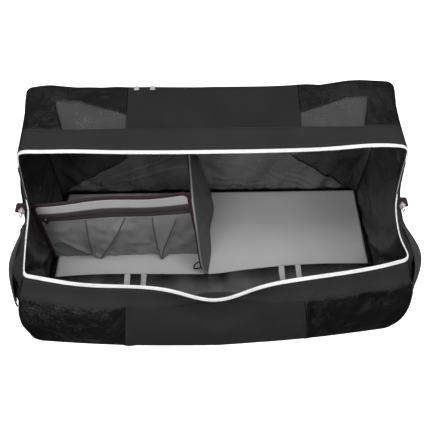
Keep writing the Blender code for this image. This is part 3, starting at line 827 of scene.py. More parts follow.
LINING_CREASES = (
    ((-0.408, 0.024), (-0.121, 0.158)),
    ((-0.430, 0.018), (-0.200, 0.020)),
    ((-0.300, 0.050), (-0.061, 0.126)),
    ((-0.245, 0.010), (-0.240, 0.180)),
    ((0.330, 0.030), (0.130, 0.130)),
    ((0.300, 0.020), (0.050, 0.150)),
    ((0.010, 0.070), (0.150, 0.055)),
    ((0.000, 0.040), (0.200, 0.030)),
    ((0.020, 0.150), (0.120, 0.110)),
)


LINING_CORNERS = ((-0.442, 0.423, 0.012), (-0.235, 0.226, 0.167), (-0.215, 0.215, 0.392))
LINING_TOP = 0.40


def build_back_lining(sheet, mats):
    """The pale lining low on the inside of the back wall, with its creases and the seam round it."""
    table = [[(u_at(low), wall_v(z)), (u_at(high), wall_v(z))] for low, high, z in LINING_CORNERS]
    v, u = np.mgrid[0 : wall_v(LINING_TOP) : 150j, 0:1:420j]
    ridges = 0
    for (x0, z0), (x1, z1) in LINING_CREASES:
        ridges = ridges + crease(u * 2 * HALF, v * BACK_LENGTH, (x0 + HALF, z0), (x1 + HALF, z1), 0.0065)
    lined = Sheet(sheet.at(u, v) - sheet.normal(u, v) * (0.0034 * ridges)[..., None], -1)
    cut = [[(a, b / wall_v(LINING_TOP)) for a, b in row] for row in table]
    cloth = [mats["inner"]] * 2
    lining = panel("back_wall_lining", lined, cut, [(0, 0), (1, 0)], cloth, 0.0010, -0.0028, step=0.004)
    finish_piece(lining, "shell", "coated")
    hem = [row[0] for row in table] + [row[1] for row in table[::-1]]
    line = frames_on(sheet, hem, 0.006, -0.0034)
    seam = sweep("back_lining_seam", line, round_profile(0.0012), [mats["inside"]])
    finish_piece(seam, "shell", "coated")


def build_back(sheet, mats):
    """Back wall and rear half of the top, as cut panels of one run of cloth."""
    outer_mats = [mats["coated"], mats["inside"]]
    matte_mats = [mats["matte"], mats["inside"]]
    band_mats = [mats["band"], mats["inside"]]
    edge_v = back_v(FLAP_DEPTH)
    band_v, lip_v = back_v(TAPE + BAND), back_v(0.004)
    centre = (u_at(-BACK_CENTRE_HALF + 0.008), u_at(BACK_CENTRE_HALF))

    for word, span in (("back", (0, edge_v)), ("top", (edge_v, band_v))):
        piece = plain_panel(f"{word}_centre_panel_cloth", sheet, matte_mats, COATED, centre, span)
        follow_flap(piece, "matte", f"{word}_centre_panel")

    window_top = HINGE_Z - 0.0034 - WINDOW_BELOW_TOP
    tip = window_top - WINDOW_DEPTH
    window_foot = (wall_v(tip), wall_v(tip + WINDOW_RISE))
    for side, word in ((-1, "left"), (1, "right")):
        near = abs(centre[0 if side < 0 else 1] * 2 * HALF - HALF)
        inner, outer, end = (u_at(side * d) for d in (near, near + WINDOW_LENGTH, HALF))
        ladder = [(0, 0), window_foot, (wall_v(window_top),) * 2, (edge_v, edge_v)]
        table = [[(inner, a), (outer, b), (end, b)] for a, b in ladder]
        if side < 0:
            table = [row[::-1] for row in table]
        window = (1, 1) if side < 0 else (1, 0)
        cells = [(r, c) for r in range(3) for c in range(2) if (r, c) != window]
        side_wall = panel(f"back_{word}_panel_cloth", sheet, table, cells, outer_mats, COATED)
        follow_flap(side_wall, "coated", f"back_{word}_panel")
        net = panel(f"back_{word}_window_net", sheet, table, [window], [mats["window"]], MESH_CLOTH)
        follow_flap(net, "window", f"back_{word}_window")

        rear_xs = [near, near + 0.112, near + (0.170 if side < 0 else 0.165), HALF]
        fore_xs = [near, near + 0.100, near + 0.149, HALF]
        inner_v, outer_v = (back_v(FLAP_DEPTH - depth) for depth in TOP_WINDOW_STARTS)
        table = [
            [(u_at(side * x), edge_v) for x in rear_xs],
            [(u_at(side * x), v) for x, v in zip(rear_xs, (inner_v, outer_v, outer_v, outer_v))],
            [(u_at(side * x), band_v) for x in fore_xs],
        ]
        windows = [(1, 0), (1, 1)]
        if side < 0:
            table = [row[::-1] for row in table]
            windows = [(1, 2), (1, 1)]
        cells = [(r, c) for r in range(2) for c in range(3) if (r, c) not in windows]
        top_side = panel(f"top_{word}_panel_cloth", sheet, table, cells, outer_mats, COATED)
        follow_flap(top_side, "coated", f"top_{word}_panel")
        net = panel(f"top_{word}_window_net", sheet, table, windows, [mats["window"]], MESH_CLOTH)
        follow_flap(net, "window", f"top_{word}_window")

    band = plain_panel("back_band_cloth", sheet, band_mats, BAND_CLOTH, v=(band_v, lip_v))
    follow_flap(band, "band", "back_band")

    build_back_lining(sheet, mats)
    uprights = [((u, 0.01), (u, band_v)) for u in centre]
    rows = panel_rows(sheet, uprights, [back_v(depth) for depth in BAND_STITCHES])
    follow_flap(stitch_rows("back_stitching", rows, mats["thread"]), "webbing")
    follow_flap(band_seam("back", sheet, band_v, mats), "band")


def build_front(sheet, mats):
    """The slumped front half of the top."""
    length = length_of(sheet.at(np.full(60, 0.2), np.linspace(0, 1, 60)))
    band_v, lip_v = 1 - (TAPE + BAND) / length, 1 - 0.004 / length
    foot = u_at(-FRONT_CENTRE_HALF - 0.001), u_at(FRONT_CENTRE_HALF + 0.010)
    head = u_at(-FRONT_CENTRE_HALF + 0.014), u_at(FRONT_CENTRE_HALF - 0.016)
    left, right = (list(zip((low, high), (0, band_v))) for low, high in zip(foot, head))
    ends = [[(u, 0), (u, band_v)] for u in (0, 1)]
    plain = [mats["matte"], mats["inside"]]
    shiny = [mats["coated"], mats["inside"]]
    spans = (
        ("front_left_panel", ends[0], left, shiny, "coated"),
        ("front_centre_panel", left, right, plain, "matte"),
        ("front_right_panel", right, ends[1], shiny, "coated"),
    )
    for name, one, other, cloth, slot in spans:
        piece = panel(f"{name}_cloth", sheet, list(zip(one, other)), [(0, 0)], cloth, COATED)
        finish_piece(piece, "shell", slot, name)
    cloth = [mats["band"], mats["inside"]]
    band = plain_panel("front_band_cloth", sheet, cloth, BAND_CLOTH, v=(band_v, lip_v))
    finish_piece(band, "shell", "band", "front_band")
    uprights = [((low, 0.02), (high, band_v)) for (low, _), (high, _) in (left, right)]
    rows = panel_rows(sheet, uprights, [1 - depth / length for depth in BAND_STITCHES])
    finish_piece(stitch_rows("front_stitching", rows, mats["thread"]), "shell", "webbing")
    finish_piece(band_seam("front", sheet, band_v, mats), "shell", "band")


def build_end(end, mats, word):
    """An end panel, with the band below the zip and the seams that join it to the front and back."""
    sheet, lip_u = end.sheet, end.lip_u
    columns = np.concatenate([np.linspace(0, lip_u, 9), [lerp(lip_u, 1, 0.5), 1.0]])
    band_v = end.depth_v(columns, TAPE + BAND)
    lip_v = end.depth_v(columns, np.where(columns > 0.6 * lip_u, 0.0004, 0.004))
    table = [
        [(u, 0.0) for u in columns],
        list(zip(columns, band_v)),
        list(zip(columns, lip_v)),
        [(u, 1.0) for u in columns],
    ]
    band_cells = [(1, c) for c in range(8)]
    cells = [(0, c) for c in range(10)] + [(r, c) for r in (1, 2) for c in (8, 9)]
    cloth, band_cloth = [mats["coated"], mats["inside"]], [mats["band"], mats["inside"]]
    piece = panel(f"{word}_end_panel_cloth", sheet, table, cells, cloth, COATED)
    follow_end(piece, "coated", f"{word}_end_panel")
    piece = panel(f"{word}_end_band_cloth", sheet, table, band_cells, band_cloth, BAND_CLOTH)
    follow_end(piece, "band", f"{word}_end_band")
    along = columns[:9]
    rows = [(sheet, list(zip(along, end.depth_v(along, depth))), 0.0013) for depth in BAND_STITCHES[::-1]]
    follow_end(stitch_rows(f"{word}_end_stitching", rows, mats["thread"]), "webbing")
    front_edge = [(0.002, 1 - t) for t in np.linspace(0.02, 1, 12)]
    back_edge = [(0.998, t) for t in np.linspace(0, 1, 12)]
    back_edge += [(lerp(1, lip_u, t), 0.999) for t in np.linspace(0.08, 1, 8)]
    for place, edge in (("front", front_edge), ("back", back_edge)):
        line = frames_on(sheet, edge, 0.006)
        seam = sweep(f"{word}_{place}_corner_seam", line, round_profile(PIPING_RADIUS), [mats["coated"]])
        if place == "front":
            finish_piece(seam, "shell", "coated")
        else:
            follow_end(seam, "coated")


def smoothed(values, width):
    """A closed ring of values, averaged over its neighbours."""
    weights = np.hanning(2 * width + 3)[1:-1]
    weights /= weights.sum()
    return sum(w * np.roll(values, k - width, axis=0) for k, w in enumerate(weights))


def build_zip(front, back, ends, mats):
    """White tape and coil round the whole opening: one smooth ring, cut where its pieces move apart."""
    fine = np.linspace(0, 1, 400)
    left, right = ends
    runs = (
        ("front", front.at(fine, 1.0), front.normal(fine, 0.995)),
        ("right", right.sheet.at(fine * right.lip_u, 1.0), np.tile((1.0, 0.0, 0.0), (400, 1))),
        ("back", back.at(1 - fine, 1.0), back.normal(1 - fine, 0.995)),
        ("left", left.sheet.at((1 - fine) * left.lip_u, 1.0), np.tile((-1.0, 0.0, 0.0), (400, 1))),
    )
    places, normals, labels = [], [], []
    for label, points, outward in runs:
        count = int(length_of(points) / ZIP_PITCH)
        places.append(spaced(points, count + 1)[:-1])
        # The tiny slope keeps the lengths apart where the outward direction stays the same.
        normals.append(spaced(outward + fine[:, None] * 1e-9, count + 1)[:-1])
        labels += [label] * count
    labels = np.array(labels)
    places = smoothed(np.concatenate(places), 5)
    outward = smoothed(unit(np.concatenate(normals)), 8)
    behind = smooth(ZIP_END[0] + 0.004, ZIP_END[0] + 0.022, places[:, 1]) * smooth(0.036, 0.022, places[:, 1])
    behind = smoothed((behind * np.isin(labels, ("left", "right")))[:, None], 2)
    share = lerp(0.40 + 0.34 * np.abs(outward[:, :1]), 1.0, behind)
    facing = unit(share * outward + (1 - share) * np.array((0.0, -0.42, 0.9)))
    ways = unit(np.roll(places, -1, axis=0) - np.roll(places, 1, axis=0))
    sides = unit(np.cross(facing, ways))
    facing = unit(np.cross(ways, sides))
    places = places + behind * (facing * 0.0022 - sides * ZIP_TUCK)
    coil_shift = 0.0026 * (1 - 2 * behind)
    for label, _, _ in runs:
        chosen = np.flatnonzero(labels == label)
        chosen = np.append(chosen, (chosen[-1] + 1) % len(places))
        at, way, out, side, shift = (v[chosen] for v in (places, ways, facing, sides, coil_shift))
        tape = sweep(f"{label}_zip_tape_cloth", (at, way, out, side), tape_profile(*ZIP_TAPE), [mats["zip"]])
        spots = at[:-1] + side[:-1] * shift[:-1] + out[:-1] * 0.0014
        coil = [mats["coil"]]
        teeth = beads(f"{label}_zip_coil", spots, side[:-1], out[:-1], way[:-1], ZIP_TOOTH, coil)
        if label in ("left", "right"):
            follow_end(tape, "zip", f"{label}_end_tape")
            follow_end(teeth, "zip")
        else:
            body = "shell" if label == "front" else "back_flap"
            finish_piece(tape, body, "zip", f"{label}_zip_tape")
            finish_piece(teeth, body, "zip")


def pad_surface(half_x, y0, y1, z, depth, round_edge):
    """A flat pad whose rim rolls down."""

    def surface(u, v):
        right = half_x + 0.010 * v
        x, y = lerp(-half_x, right, u), lerp(y0, y1, v)
        rim = np.minimum(np.minimum(np.minimum(x + half_x, right - x), y - y0), y1 - y)
        drop = depth * (1 - np.sqrt(np.clip(1 - (1 - np.clip(rim / round_edge, 0, 1)) ** 2, 0, 1)))
        waves = 0.0006 * np.sin(17 * x + 9 * y) * np.sin(13 * y - 5 * x)
        return np.stack([x, y, z - drop + waves], -1)

    return surface


def build_base(front, back, mats):
    columns = np.linspace(0, 1, 151)
    before, behind = front.at(columns, 0.0), back.at(columns, 0.0)
    under = Sheet(lerp(before, behind, np.linspace(0, 1, 30)[:, None, None]))
    piece = plain_panel("bottom_panel_cloth", under, [mats["coated"]], 0.0017, step=FINE_STEP)
    finish_piece(piece, "shell", "coated", "bottom_panel")
    low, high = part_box("base_board")
    surface = pad_surface(high.x - 0.006, low.y + 0.002, high.y - 0.004, BOARD_TOP, 0.0045, 0.010)
    top = sheet_of(surface, 130, 70)
    piece = plain_panel("base_board_pad", top, [mats["lining"]], COATED, lift=-COATED / 2, step=FINE_STEP)
    finish_piece(piece, "shell", "lining", "base_board")


PLEAT_FOLDS = (
    (-0.020, -0.075, 0.030, 0.008),
    (-0.110, -0.060, 0.026, 0.006),
    (0.030, 0.085, 0.028, 0.008),
    (0.100, 0.050, 0.024, 0.006),
)


def pleat_sheet():
    """The folded front wall: v goes from the mouth of its upper layer, over the ridge, to the lower layer."""

    def surface(u, v):
        x = lerp(-PLEAT_HALF, PLEAT_HALF, u)
        ridge = -0.078 + 0.030 * u + 0.006 * np.sin(9 * u + 0.6) - 0.004 * bell(u, 0.5, 0.07)
        low, high = BOARD_TOP + 0.0016, BOARD_TOP + 0.0150
        over = np.clip((v - 0.42) / 0.16, 0, 1) * pi
        upper = np.clip(1 - v / 0.42, 0, 1)
        lower = np.clip((v - 0.58) / 0.42, 0, 1)
        radius = (high - low) / 2
        mouth = PLEAT_MOUTH
        y = ridge - radius + radius * np.sin(over) - (upper + lower) * (ridge - radius - mouth)
        z = (low + high) / 2 + radius * np.cos(over)
        centre_x, centre_y = -0.020, -0.062
        angle = np.arctan2(y - centre_y, x - centre_x)
        away = np.hypot(x - centre_x, y - centre_y)
        radial = np.abs((1.35 * angle) % 1 * 2 - 1) * bell(away, 0.085, 0.080)
        on_top = smooth(0.50, 0.40, v)
        facets = 0.013 * radial + 0.002 * np.sin(30 * x + 40 * y) * np.sin(21 * x)
        for foot_x, head_x, width, height in PLEAT_FOLDS:
            run = np.clip((y - ridge) / (mouth - ridge), 0, 1)
            facets = facets + height * np.clip(1 - np.abs(x - lerp(foot_x, head_x, run)) / width, 0, 1)
        z = z + on_top * (facets + 0.006 * upper)
        return np.stack([x, y, z], -1)

    return sheet_of(surface, 170, 60)


def build_pleat(mats):

    def share(u, v):
        return smooth(0.5, 0.35, v) * smooth(0, 0.1, v)

    sheet = buckle(pleat_sheet(), 0.02, 0.004, share, frames=10, seed=5)
    # The folded wall's cloth is painted lighter than the inner coating, as painted light against the lip's
    # shadow
    piece = plain_panel("front_wall_cloth", sheet, [mats["fold"]], COATED, step=FINE_STEP)
    finish_piece(piece, "shell", "coated", "front_wall")
    cut = (2 * PLEAT_HALF, length_of(sheet.at(np.full(80, 0.5), np.linspace(0, 1, 80))))
    for number in range(1, 5):
        low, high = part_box(f"stitch_tape_{number}")
        u = ((low.x + high.x) / 2 + PLEAT_HALF) / (2 * PLEAT_HALF)
        line = frames_on(sheet, [(u, 0.02), (u, 0.47)], 0.005, 0.0012)
        profile = tape_profile(high.x - low.x, 0.0010)
        tape = sweep(f"stitch_tape_{number}_cloth", line, profile, [mats["lining"]])
        finish_piece(tape, "shell", "lining", f"stitch_tape_{number}")
    build_front_handle(mats)


def mirrored(points):
    """The same points on the bag's other side, in reverse order."""
    return [(-x, y, z) for x, y, z in points[::-1]]


def build_front_handle(mats):
    """The front carry handle, flat inside the folded wall."""
    low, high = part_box("front_handle")
    z = (low.z + high.z) / 2 + 0.0003
    x, y0, y1 = high.x - CARRY_WIDTH / 2, low.y, high.y - CARRY_WIDTH / 2
    bend = 0.030
    points = [(-x, y0, z), (-x, y1 - bend, z), (-x + 0.009, y1 - 0.009, z), (-x + bend, y1, z)]
    points += [(0, y1, z)] + mirrored(points)
    line = flat_line(line_through(points, 120), (0, 0, 1))
    strap = sweep("front_handle_strap", line, tape_profile(CARRY_WIDTH, 0.0022), [mats["webbing"]])
    finish_piece(strap, "shell", "webbing", "front_handle")


def divider_point(y, height):
    """A place on the cross divider, from its depth in the bag and its height. It leans at the back, and its
    foot spreads to the right at the front."""
    ahead = smooth(DIVIDER_BACK, DIVIDER_NOSE, y)
    lean = lerp(0.060, 0.020, ahead) * height / DIVIDER_HEIGHT
    spread = lerp(0.004, 0.019, ahead) * (1 - np.exp(-height / 0.030))
    wave = 0.003 * np.sin(2 * pi * (y + 0.03) / 0.14) * np.clip(1 - height / 0.16, 0, 1) ** 2
    x = lerp(0.003, -0.010, ahead) - lean - spread + wave
    return np.stack([x, y, BOARD_TOP + 0.001 + height], -1)


def divider_sheet():
    def surface(u, v):
        y = lerp(DIVIDER_NOSE, DIVIDER_BACK, u)
        top = lerp(0.030, DIVIDER_HEIGHT, smooth(DIVIDER_NOSE - 0.012, DIVIDER_SHOULDER + 0.012, y))
        return divider_point(y, v * top)

    return sheet_of(surface, 60, 50)


def build_divider(mats):
    sheet = divider_sheet()
    sheet = buckle(sheet, 0.015, 0.004, lambda u, v: smooth(1.0, 0.8, v), frames=10, seed=8)
    piece = plain_panel("cross_divider_cloth", sheet, [mats["divider"]], DIVIDER_CLOTH, step=FINE_STEP)
    finish_piece(piece, "shell", "divider", "cross_divider")
    path = [(0.004, t) for t in np.linspace(0.05, 0.97, 10)]
    path += [(t, 0.99) for t in np.linspace(0.02, 0.985, 30)]
    line = frames_on(sheet, path, 0.004)
    edge = sweep("divider_binding_tape", line, tape_profile(0.0062, 0.0052), [mats["edging"]])
    finish_piece(edge, "shell", "lining", "divider_binding")
    beside = frame_line(line[0][8:] - (0.0042, 0, 0), line[2][8:])
    piping = sweep("divider_piping", beside, round_profile(0.0017), [mats["binding"]])
    finish_piece(piping, "shell", "binding")
    rows = [(sheet, [(0.03, 0.93), (0.98, 0.965)], side) for side in (0.0022, -0.0022)]
    finish_piece(stitch_rows("divider_stitching", rows, mats["thread"]), "shell", "webbing")

    low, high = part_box("tie_loop")
    centre_y, radius = (low.y + high.y) / 2, (high.y - low.y) / 2 - 0.0016
    angles = np.linspace(0, 2 * pi, 49)
    top_z = high.z - 0.0016
    across = radius * np.sin(angles) * (1 - 0.20 * np.cos(angles))
    y = centre_y - 0.007 + 0.35 * across
    z = top_z + 0.002 - 1.12 * radius * (1 - np.cos(angles))
    x = (low.x + high.x) / 2 - 0.0225 + 0.93 * across + 0.0012 * np.sin(3 * angles)
    ring = flat_line(np.stack([x, y, z], -1), (1, 0, 0))
    loop = sweep("tie_loop_cord", ring, round_profile(0.0021), [mats["dark_coil"]], closed_ends=False)
    finish_piece(loop, "tie_loop", "binding", "tie_loop")


def crease(u, v, foot, head, width):
    """1 on the line between two points of a sheet, falling to 0 beside it."""
    (fu, fv), (hu, hv) = foot, head
    t = np.clip(((u - fu) * (hu - fu) + (v - fv) * (hv - fv)) / ((hu - fu) ** 2 + (hv - fv) ** 2), 0, 1)
    away = np.hypot(u - fu - t * (hu - fu), (v - fv - t * (hv - fv)) * 0.7)
    return np.clip(1 - away / width, 0, 1) * (1 - 0.6 * t)


POCKET_FOLDS = (
    ((0.30, 0.02), (0.56, 0.70)),
    ((0.29, 0.05), (0.10, 0.36)),
    ((0.27, 0.16), (0.305, 0.70)),
    ((0.705, 0.04), (0.735, 0.70)),
    ((0.71, 0.06), (0.885, 0.66)),
)


def pocket_sheet():
    """The mesh pocket divider, from the left end to the cross divider; v 1 is its top edge."""
    left = -(HALF - 0.004)
    keep_left = 1 - POCKET_FALL / POCKET_HEIGHT

    def surface(u, v):
        high = np.maximum(v * POCKET_HEIGHT, BOARD_TOP + 0.001)
        right = divider_point(np.zeros_like(high), high - BOARD_TOP)[..., 0] - 0.005
        z = lerp(np.maximum(high * keep_left, BOARD_TOP + 0.001), high, u)
        x = lerp(left, right, u)
        slack = smooth(0.80, 0.55, v) * np.sin(pi * u)
        folds = 0
        for foot, head in POCKET_FOLDS:
            folds = folds + crease(u, v, foot, head, 0.035)
        sag = 0.008 * slack * np.sin(pi * np.clip(v / 0.72, 0, 1))
        y = -0.002 - sag - 0.009 * folds * smooth(0.74, 0.6, v)
        y = y - 0.004 * np.sin(3 * pi * u + 0.5) * smooth(0.5, 1, v)
        return np.stack([x, y, z], -1)

    return sheet_of(surface, 120, 70)


def cut_size(sheet, top_v):
    """Flat width and height of a hung cloth, measured along the cloth itself."""
    t = np.linspace(0, 1, 60)
    across, up = sheet.at(t, 0.5 * top_v), sheet.at(np.full(60, 0.5), t * top_v)
    return length_of(across), length_of(up)


def build_pocket(mats):
    sheet = pocket_sheet()
    strip_v = 1 - BINDING / POCKET_HEIGHT
    zip_v = strip_v - POCKET_STRIP / POCKET_HEIGHT
    mesh_v = zip_v - POCKET_ZIP / POCKET_HEIGHT
    loose = buckle(sheet, 0.03, 0.006, lambda u, v: smooth(0.72, 0.6, v), frames=12, seed=3)
    rows = (
        ("pocket_mesh_net", loose, 0.0, mesh_v, "pocket", "window", "pocket_mesh", 0.0, POCKET_MESH_CLOTH),
        ("pocket_zip_band_tape", sheet, mesh_v, zip_v, "zip_band", "webbing", "pocket_zip_band", 0.0006, PLY),
        ("pocket_strip_cloth", sheet, zip_v, strip_v + 0.01, "lining", "lining", "pocket_strip", 0.0, PLY),
    )
    for name, cloth, v0, v1, look, slot, node, lift, thickness in rows:
        piece = plain_panel(name, cloth, [mats[look]], thickness, v=(v0, v1), lift=lift, step=0.005)
        finish_piece(piece, "shell", slot, node)
        if cloth is loose:
            cut = cut_size(loose, mesh_v)
    # Dark strips over the pocket mesh's creases: partly the doubled mesh, partly painted crease shade
    for number, (foot, head) in enumerate(POCKET_FOLDS, 1):
        path = [(lerp(foot[0], head[0], t), lerp(foot[1], head[1], t)) for t in np.linspace(0, 1, 14)]
        line = frames_on(loose, path, 0.006, 0.0012)
        fold = sweep(f"pocket_mesh_fold_shade_{number}", line, tape_profile(0.0038, 0.0010), [mats["doubled_mesh_shade"]])
        finish_piece(fold, "shell", "window")
    back = Sheet(sheet.points * (1, 0.25, 1) + np.array((0, 0.011, 0)))
    piece = plain_panel("pocket_back_ply", back, [mats["ply"]], PLY, (0.004, 0.996), (0.0, zip_v))
    finish_piece(piece, "shell", "coated", "pocket_back")
    cut_size(back, zip_v)

    inset, radius_u, radius_v = 0.006, 0.045, 0.075
    rounded = [
        (inset + radius_u * (1 - cos(a)), 1 - radius_v + radius_v * sin(a) * 0.97)
        for a in np.linspace(0, pi / 2, 8)[1:]
    ]
    path = [(inset, t) for t in np.linspace(0.02, 1 - radius_v, 12)] + rounded
    path += [(t, 0.9975) for t in np.linspace(0.08, 0.94, 24)]
    path += [(1 - u, v) for u, v in rounded[::-1]]
    path += [(1 - inset, t) for t in np.linspace(1 - radius_v, 0.02, 12)]
    line = frames_on(sheet, path, 0.004)
    edge = sweep("pocket_binding_tape", line, tape_profile(0.0115, 0.0052), [mats["binding"]])
    finish_piece(edge, "shell", "binding", "pocket_binding")

    coil_v = (mesh_v + zip_v) / 2
    spots = frames_on(sheet, [(0.03, coil_v), (0.985, coil_v)], 0.0026, 0.0)
    places = spots[0] + np.array((0, -0.0016, 0))
    tooth, coil = (0.0056, 0.0019, 0.0022), [mats["dark_coil"]]
    teeth = beads("pocket_zip_coil", places, spots[3], spots[2], spots[1], tooth, coil)
    finish_piece(teeth, "shell", "webbing")
    rows = [(sheet, [(0.02, v), (0.985, v)], 0.0) for v in (mesh_v + 0.012, zip_v - 0.012)]
    stitches = stitch_rows("pocket_stitching", rows, mats["thread"])
    stitches.location.y = -0.0018
    finish_piece(stitches, "shell", "webbing")


def join(name, parts, materials):
    """Several (points, faces, slot) shapes as one mesh."""
    points, faces, slots, total = [], [], [], 0
    for part_points, part_faces, slot in parts:
        points.append(np.asarray(part_points, float).reshape(-1, 3))
        faces += [[total + i for i in f] for f in part_faces]
        slots += [slot] * len(part_faces)
        total += len(points[-1])
    return mesh_piece(name, np.concatenate(points), faces, materials, slots=slots, smooth_angle=40)


def pebble(size, centre, turn=None, steps=10, power=0.45):
    """A rounded block: a ball pushed out towards its box. Returns points and faces."""
    theta = np.linspace(0, pi, steps + 1)[1:-1]
    phi = np.linspace(0, 2 * pi, 2 * steps, endpoint=False)
    t, p = np.meshgrid(theta, phi, indexing="ij")
    ball = np.stack([np.sin(t) * np.cos(p), np.sin(t) * np.sin(p), np.cos(t)], -1)
    block = np.sign(ball) * np.abs(ball) ** power
    rows, columns = t.shape
    points = np.concatenate([block.reshape(-1, 3), [(0, 0, 1.0)], [(0, 0, -1.0)]]) * np.array(size) / 2
    if turn is not None:
        points = points @ np.array(turn.to_3x3()).T
    index = np.arange(rows * columns).reshape(rows, columns)
    after = np.roll(index, -1, 1)
    faces = np.stack([index[:-1], index[1:], after[1:], after[:-1]], -1).reshape(-1, 4).tolist()
    top, bottom = rows * columns, rows * columns + 1
    faces += [[top, int(index[0, k]), int(after[0, k])] for k in range(columns)]
    faces += [[bottom, int(after[-1, k]), int(index[-1, k])] for k in range(columns)]
    return points + np.array(centre), faces


def torus(centre, radius, wire, axis, steps=36, sides=10):
    """A ring of wire round a level axis. Returns points and faces."""
    axis, upright = Vector(axis), Vector((0, 0, 1))
    across = upright.cross(axis)
    points = []
    for k in range(steps):
        a = 2 * pi * k / steps
        out = across * cos(a) + upright * sin(a)
        for m in range(sides):
            b = 2 * pi * m / sides
            points.append(Vector(centre) + out * radius + (out * cos(b) + axis * sin(b)) * wire)
    faces = []
    for k in range(steps):
        for m in range(sides):
            a, b = k * sides + m, k * sides + (m + 1) % sides
            c, d = ((k + 1) % steps) * sides + (m + 1) % sides, ((k + 1) % steps) * sides + m
            faces.append([a, b, c, d])
    return [tuple(p) for p in points], faces


def box_middle(node):
    low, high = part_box(node)
    return (low + high) / 2, high - low


def build_hardware(mats):
    """Sliders, pull rings and folded tabs where the main zip ends; the pocket zip's slider and pull."""
    for side, word in ((-1, "left"), (1, "right")):
        centre = box_middle(f"{word}_zip_slider")[0]
        lean = Matrix.Rotation(side * radians(8), 4, "Y")
        blocks = (
            pebble((0.0085, 0.011, 0.015), centre, lean),
            pebble((0.0050, 0.0045, 0.012), centre + Vector((side * 0.0045, 0, 0)), lean),
            pebble((0.0040, 0.0150, 0.0070), centre + Vector((0, 0, 0.0040)), lean),
        )
        slider = join(f"{word}_zip_slider_body", [(*block, 0) for block in blocks], [mats["pale"]])
        finish_piece(slider, "shell", "pale", f"{word}_zip_slider")
        centre, size = box_middle(f"{word}_zip_pull")
        ring = torus(centre, size.z / 2 - 0.0013, 0.0013, (1, 0, 0))
        pull = join(f"{word}_zip_pull_ring", [(*ring, 0)], [mats["pale"]])
        finish_piece(pull, f"{word}_pull", "pale", f"{word}_zip_pull")
        centre = box_middle(f"{word}_zip_tab")[0]
        layer = (0.025, 0.0265, 0.0024)
        folded = [pebble(layer, centre + Vector((0, 0, z)), power=0.28) for z in (-0.0013, 0.0013)]
        fold_edge = pebble((0.0042, 0.0260, 0.0054), centre + Vector((side * 0.0108, 0, 0)), power=0.4)
        tab = join(f"{word}_zip_tab_cloth", [(*p, 0) for p in [*folded, fold_edge]], [mats["binding"]])
        finish_piece(tab, "shell", "binding", f"{word}_zip_tab")

        centre = box_middle(f"{word}_handle_bar")[0]
        rear, fore = Vector((0, *GRIP_REAR)), Vector((0, *GRIP_FORE))
        run = (fore - rear).normalized()
        across = Vector((0, run.z, -run.y))
        out = Vector((side, 0, 0))
        corners = []
        for a, b in ((-1, -1), (-1, 1), (1, 1), (1, -1)):
            corners.append(centre + out * 0.0015 + across * (a * 0.017) + run * (b * 0.005))
        loop = line_through([*corners, corners[0]], 40)
        wire = flat_line(loop, (side, 0, 0))
        metal = [mats["metal"]]
        bar = sweep(f"{word}_handle_bar_ring", wire, round_profile(0.0017), metal, closed_ends=False)
        finish_piece(bar, "shell", "metal", f"{word}_handle_bar")

    centre = box_middle("pocket_slider")[0]
    body = pebble((0.012, 0.0058, 0.0088), centre)
    crown = pebble((0.008, 0.0030, 0.0030), centre + Vector((0, -0.0028, 0)))
    slider = join("pocket_slider_body", [(*body, 0), (*crown, 0)], [mats["metal"]])
    finish_piece(slider, "pocket_runner", "metal", "pocket_slider")
    centre, size = box_middle("pocket_pull")
    eye = torus(centre + Vector((0, 0, size.z / 2 - 0.0026)), 0.0022, 0.0007, (0, 1, 0), steps=20)
    tag = pebble((size.x, size.y, size.z - 0.006), centre - Vector((0, 0, 0.0022)), power=0.35)
    pull = join("pocket_pull_tag", [(*eye, 0), (*tag, 1)], [mats["pale"], mats["metal"]])
    finish_piece(pull, "pocket_tag", "metal", "pocket_pull")


def curves(spots):
    """Terms of a cubic surface over (y, z)."""
    y, z = (spots[..., 0] + 0.13) * 10, (spots[..., 1] - 0.16) * 10
    return np.stack([0 * y + 1, y, z, y * y, y * z, z * z, y**3, y * y * z, y * z * z, z**3], -1)


# A sewn box with a cross in it, from corner to corner
TACK_SIDES = ((0, 1), (2, 3), (0, 2), (1, 3), (0, 3), (1, 2))


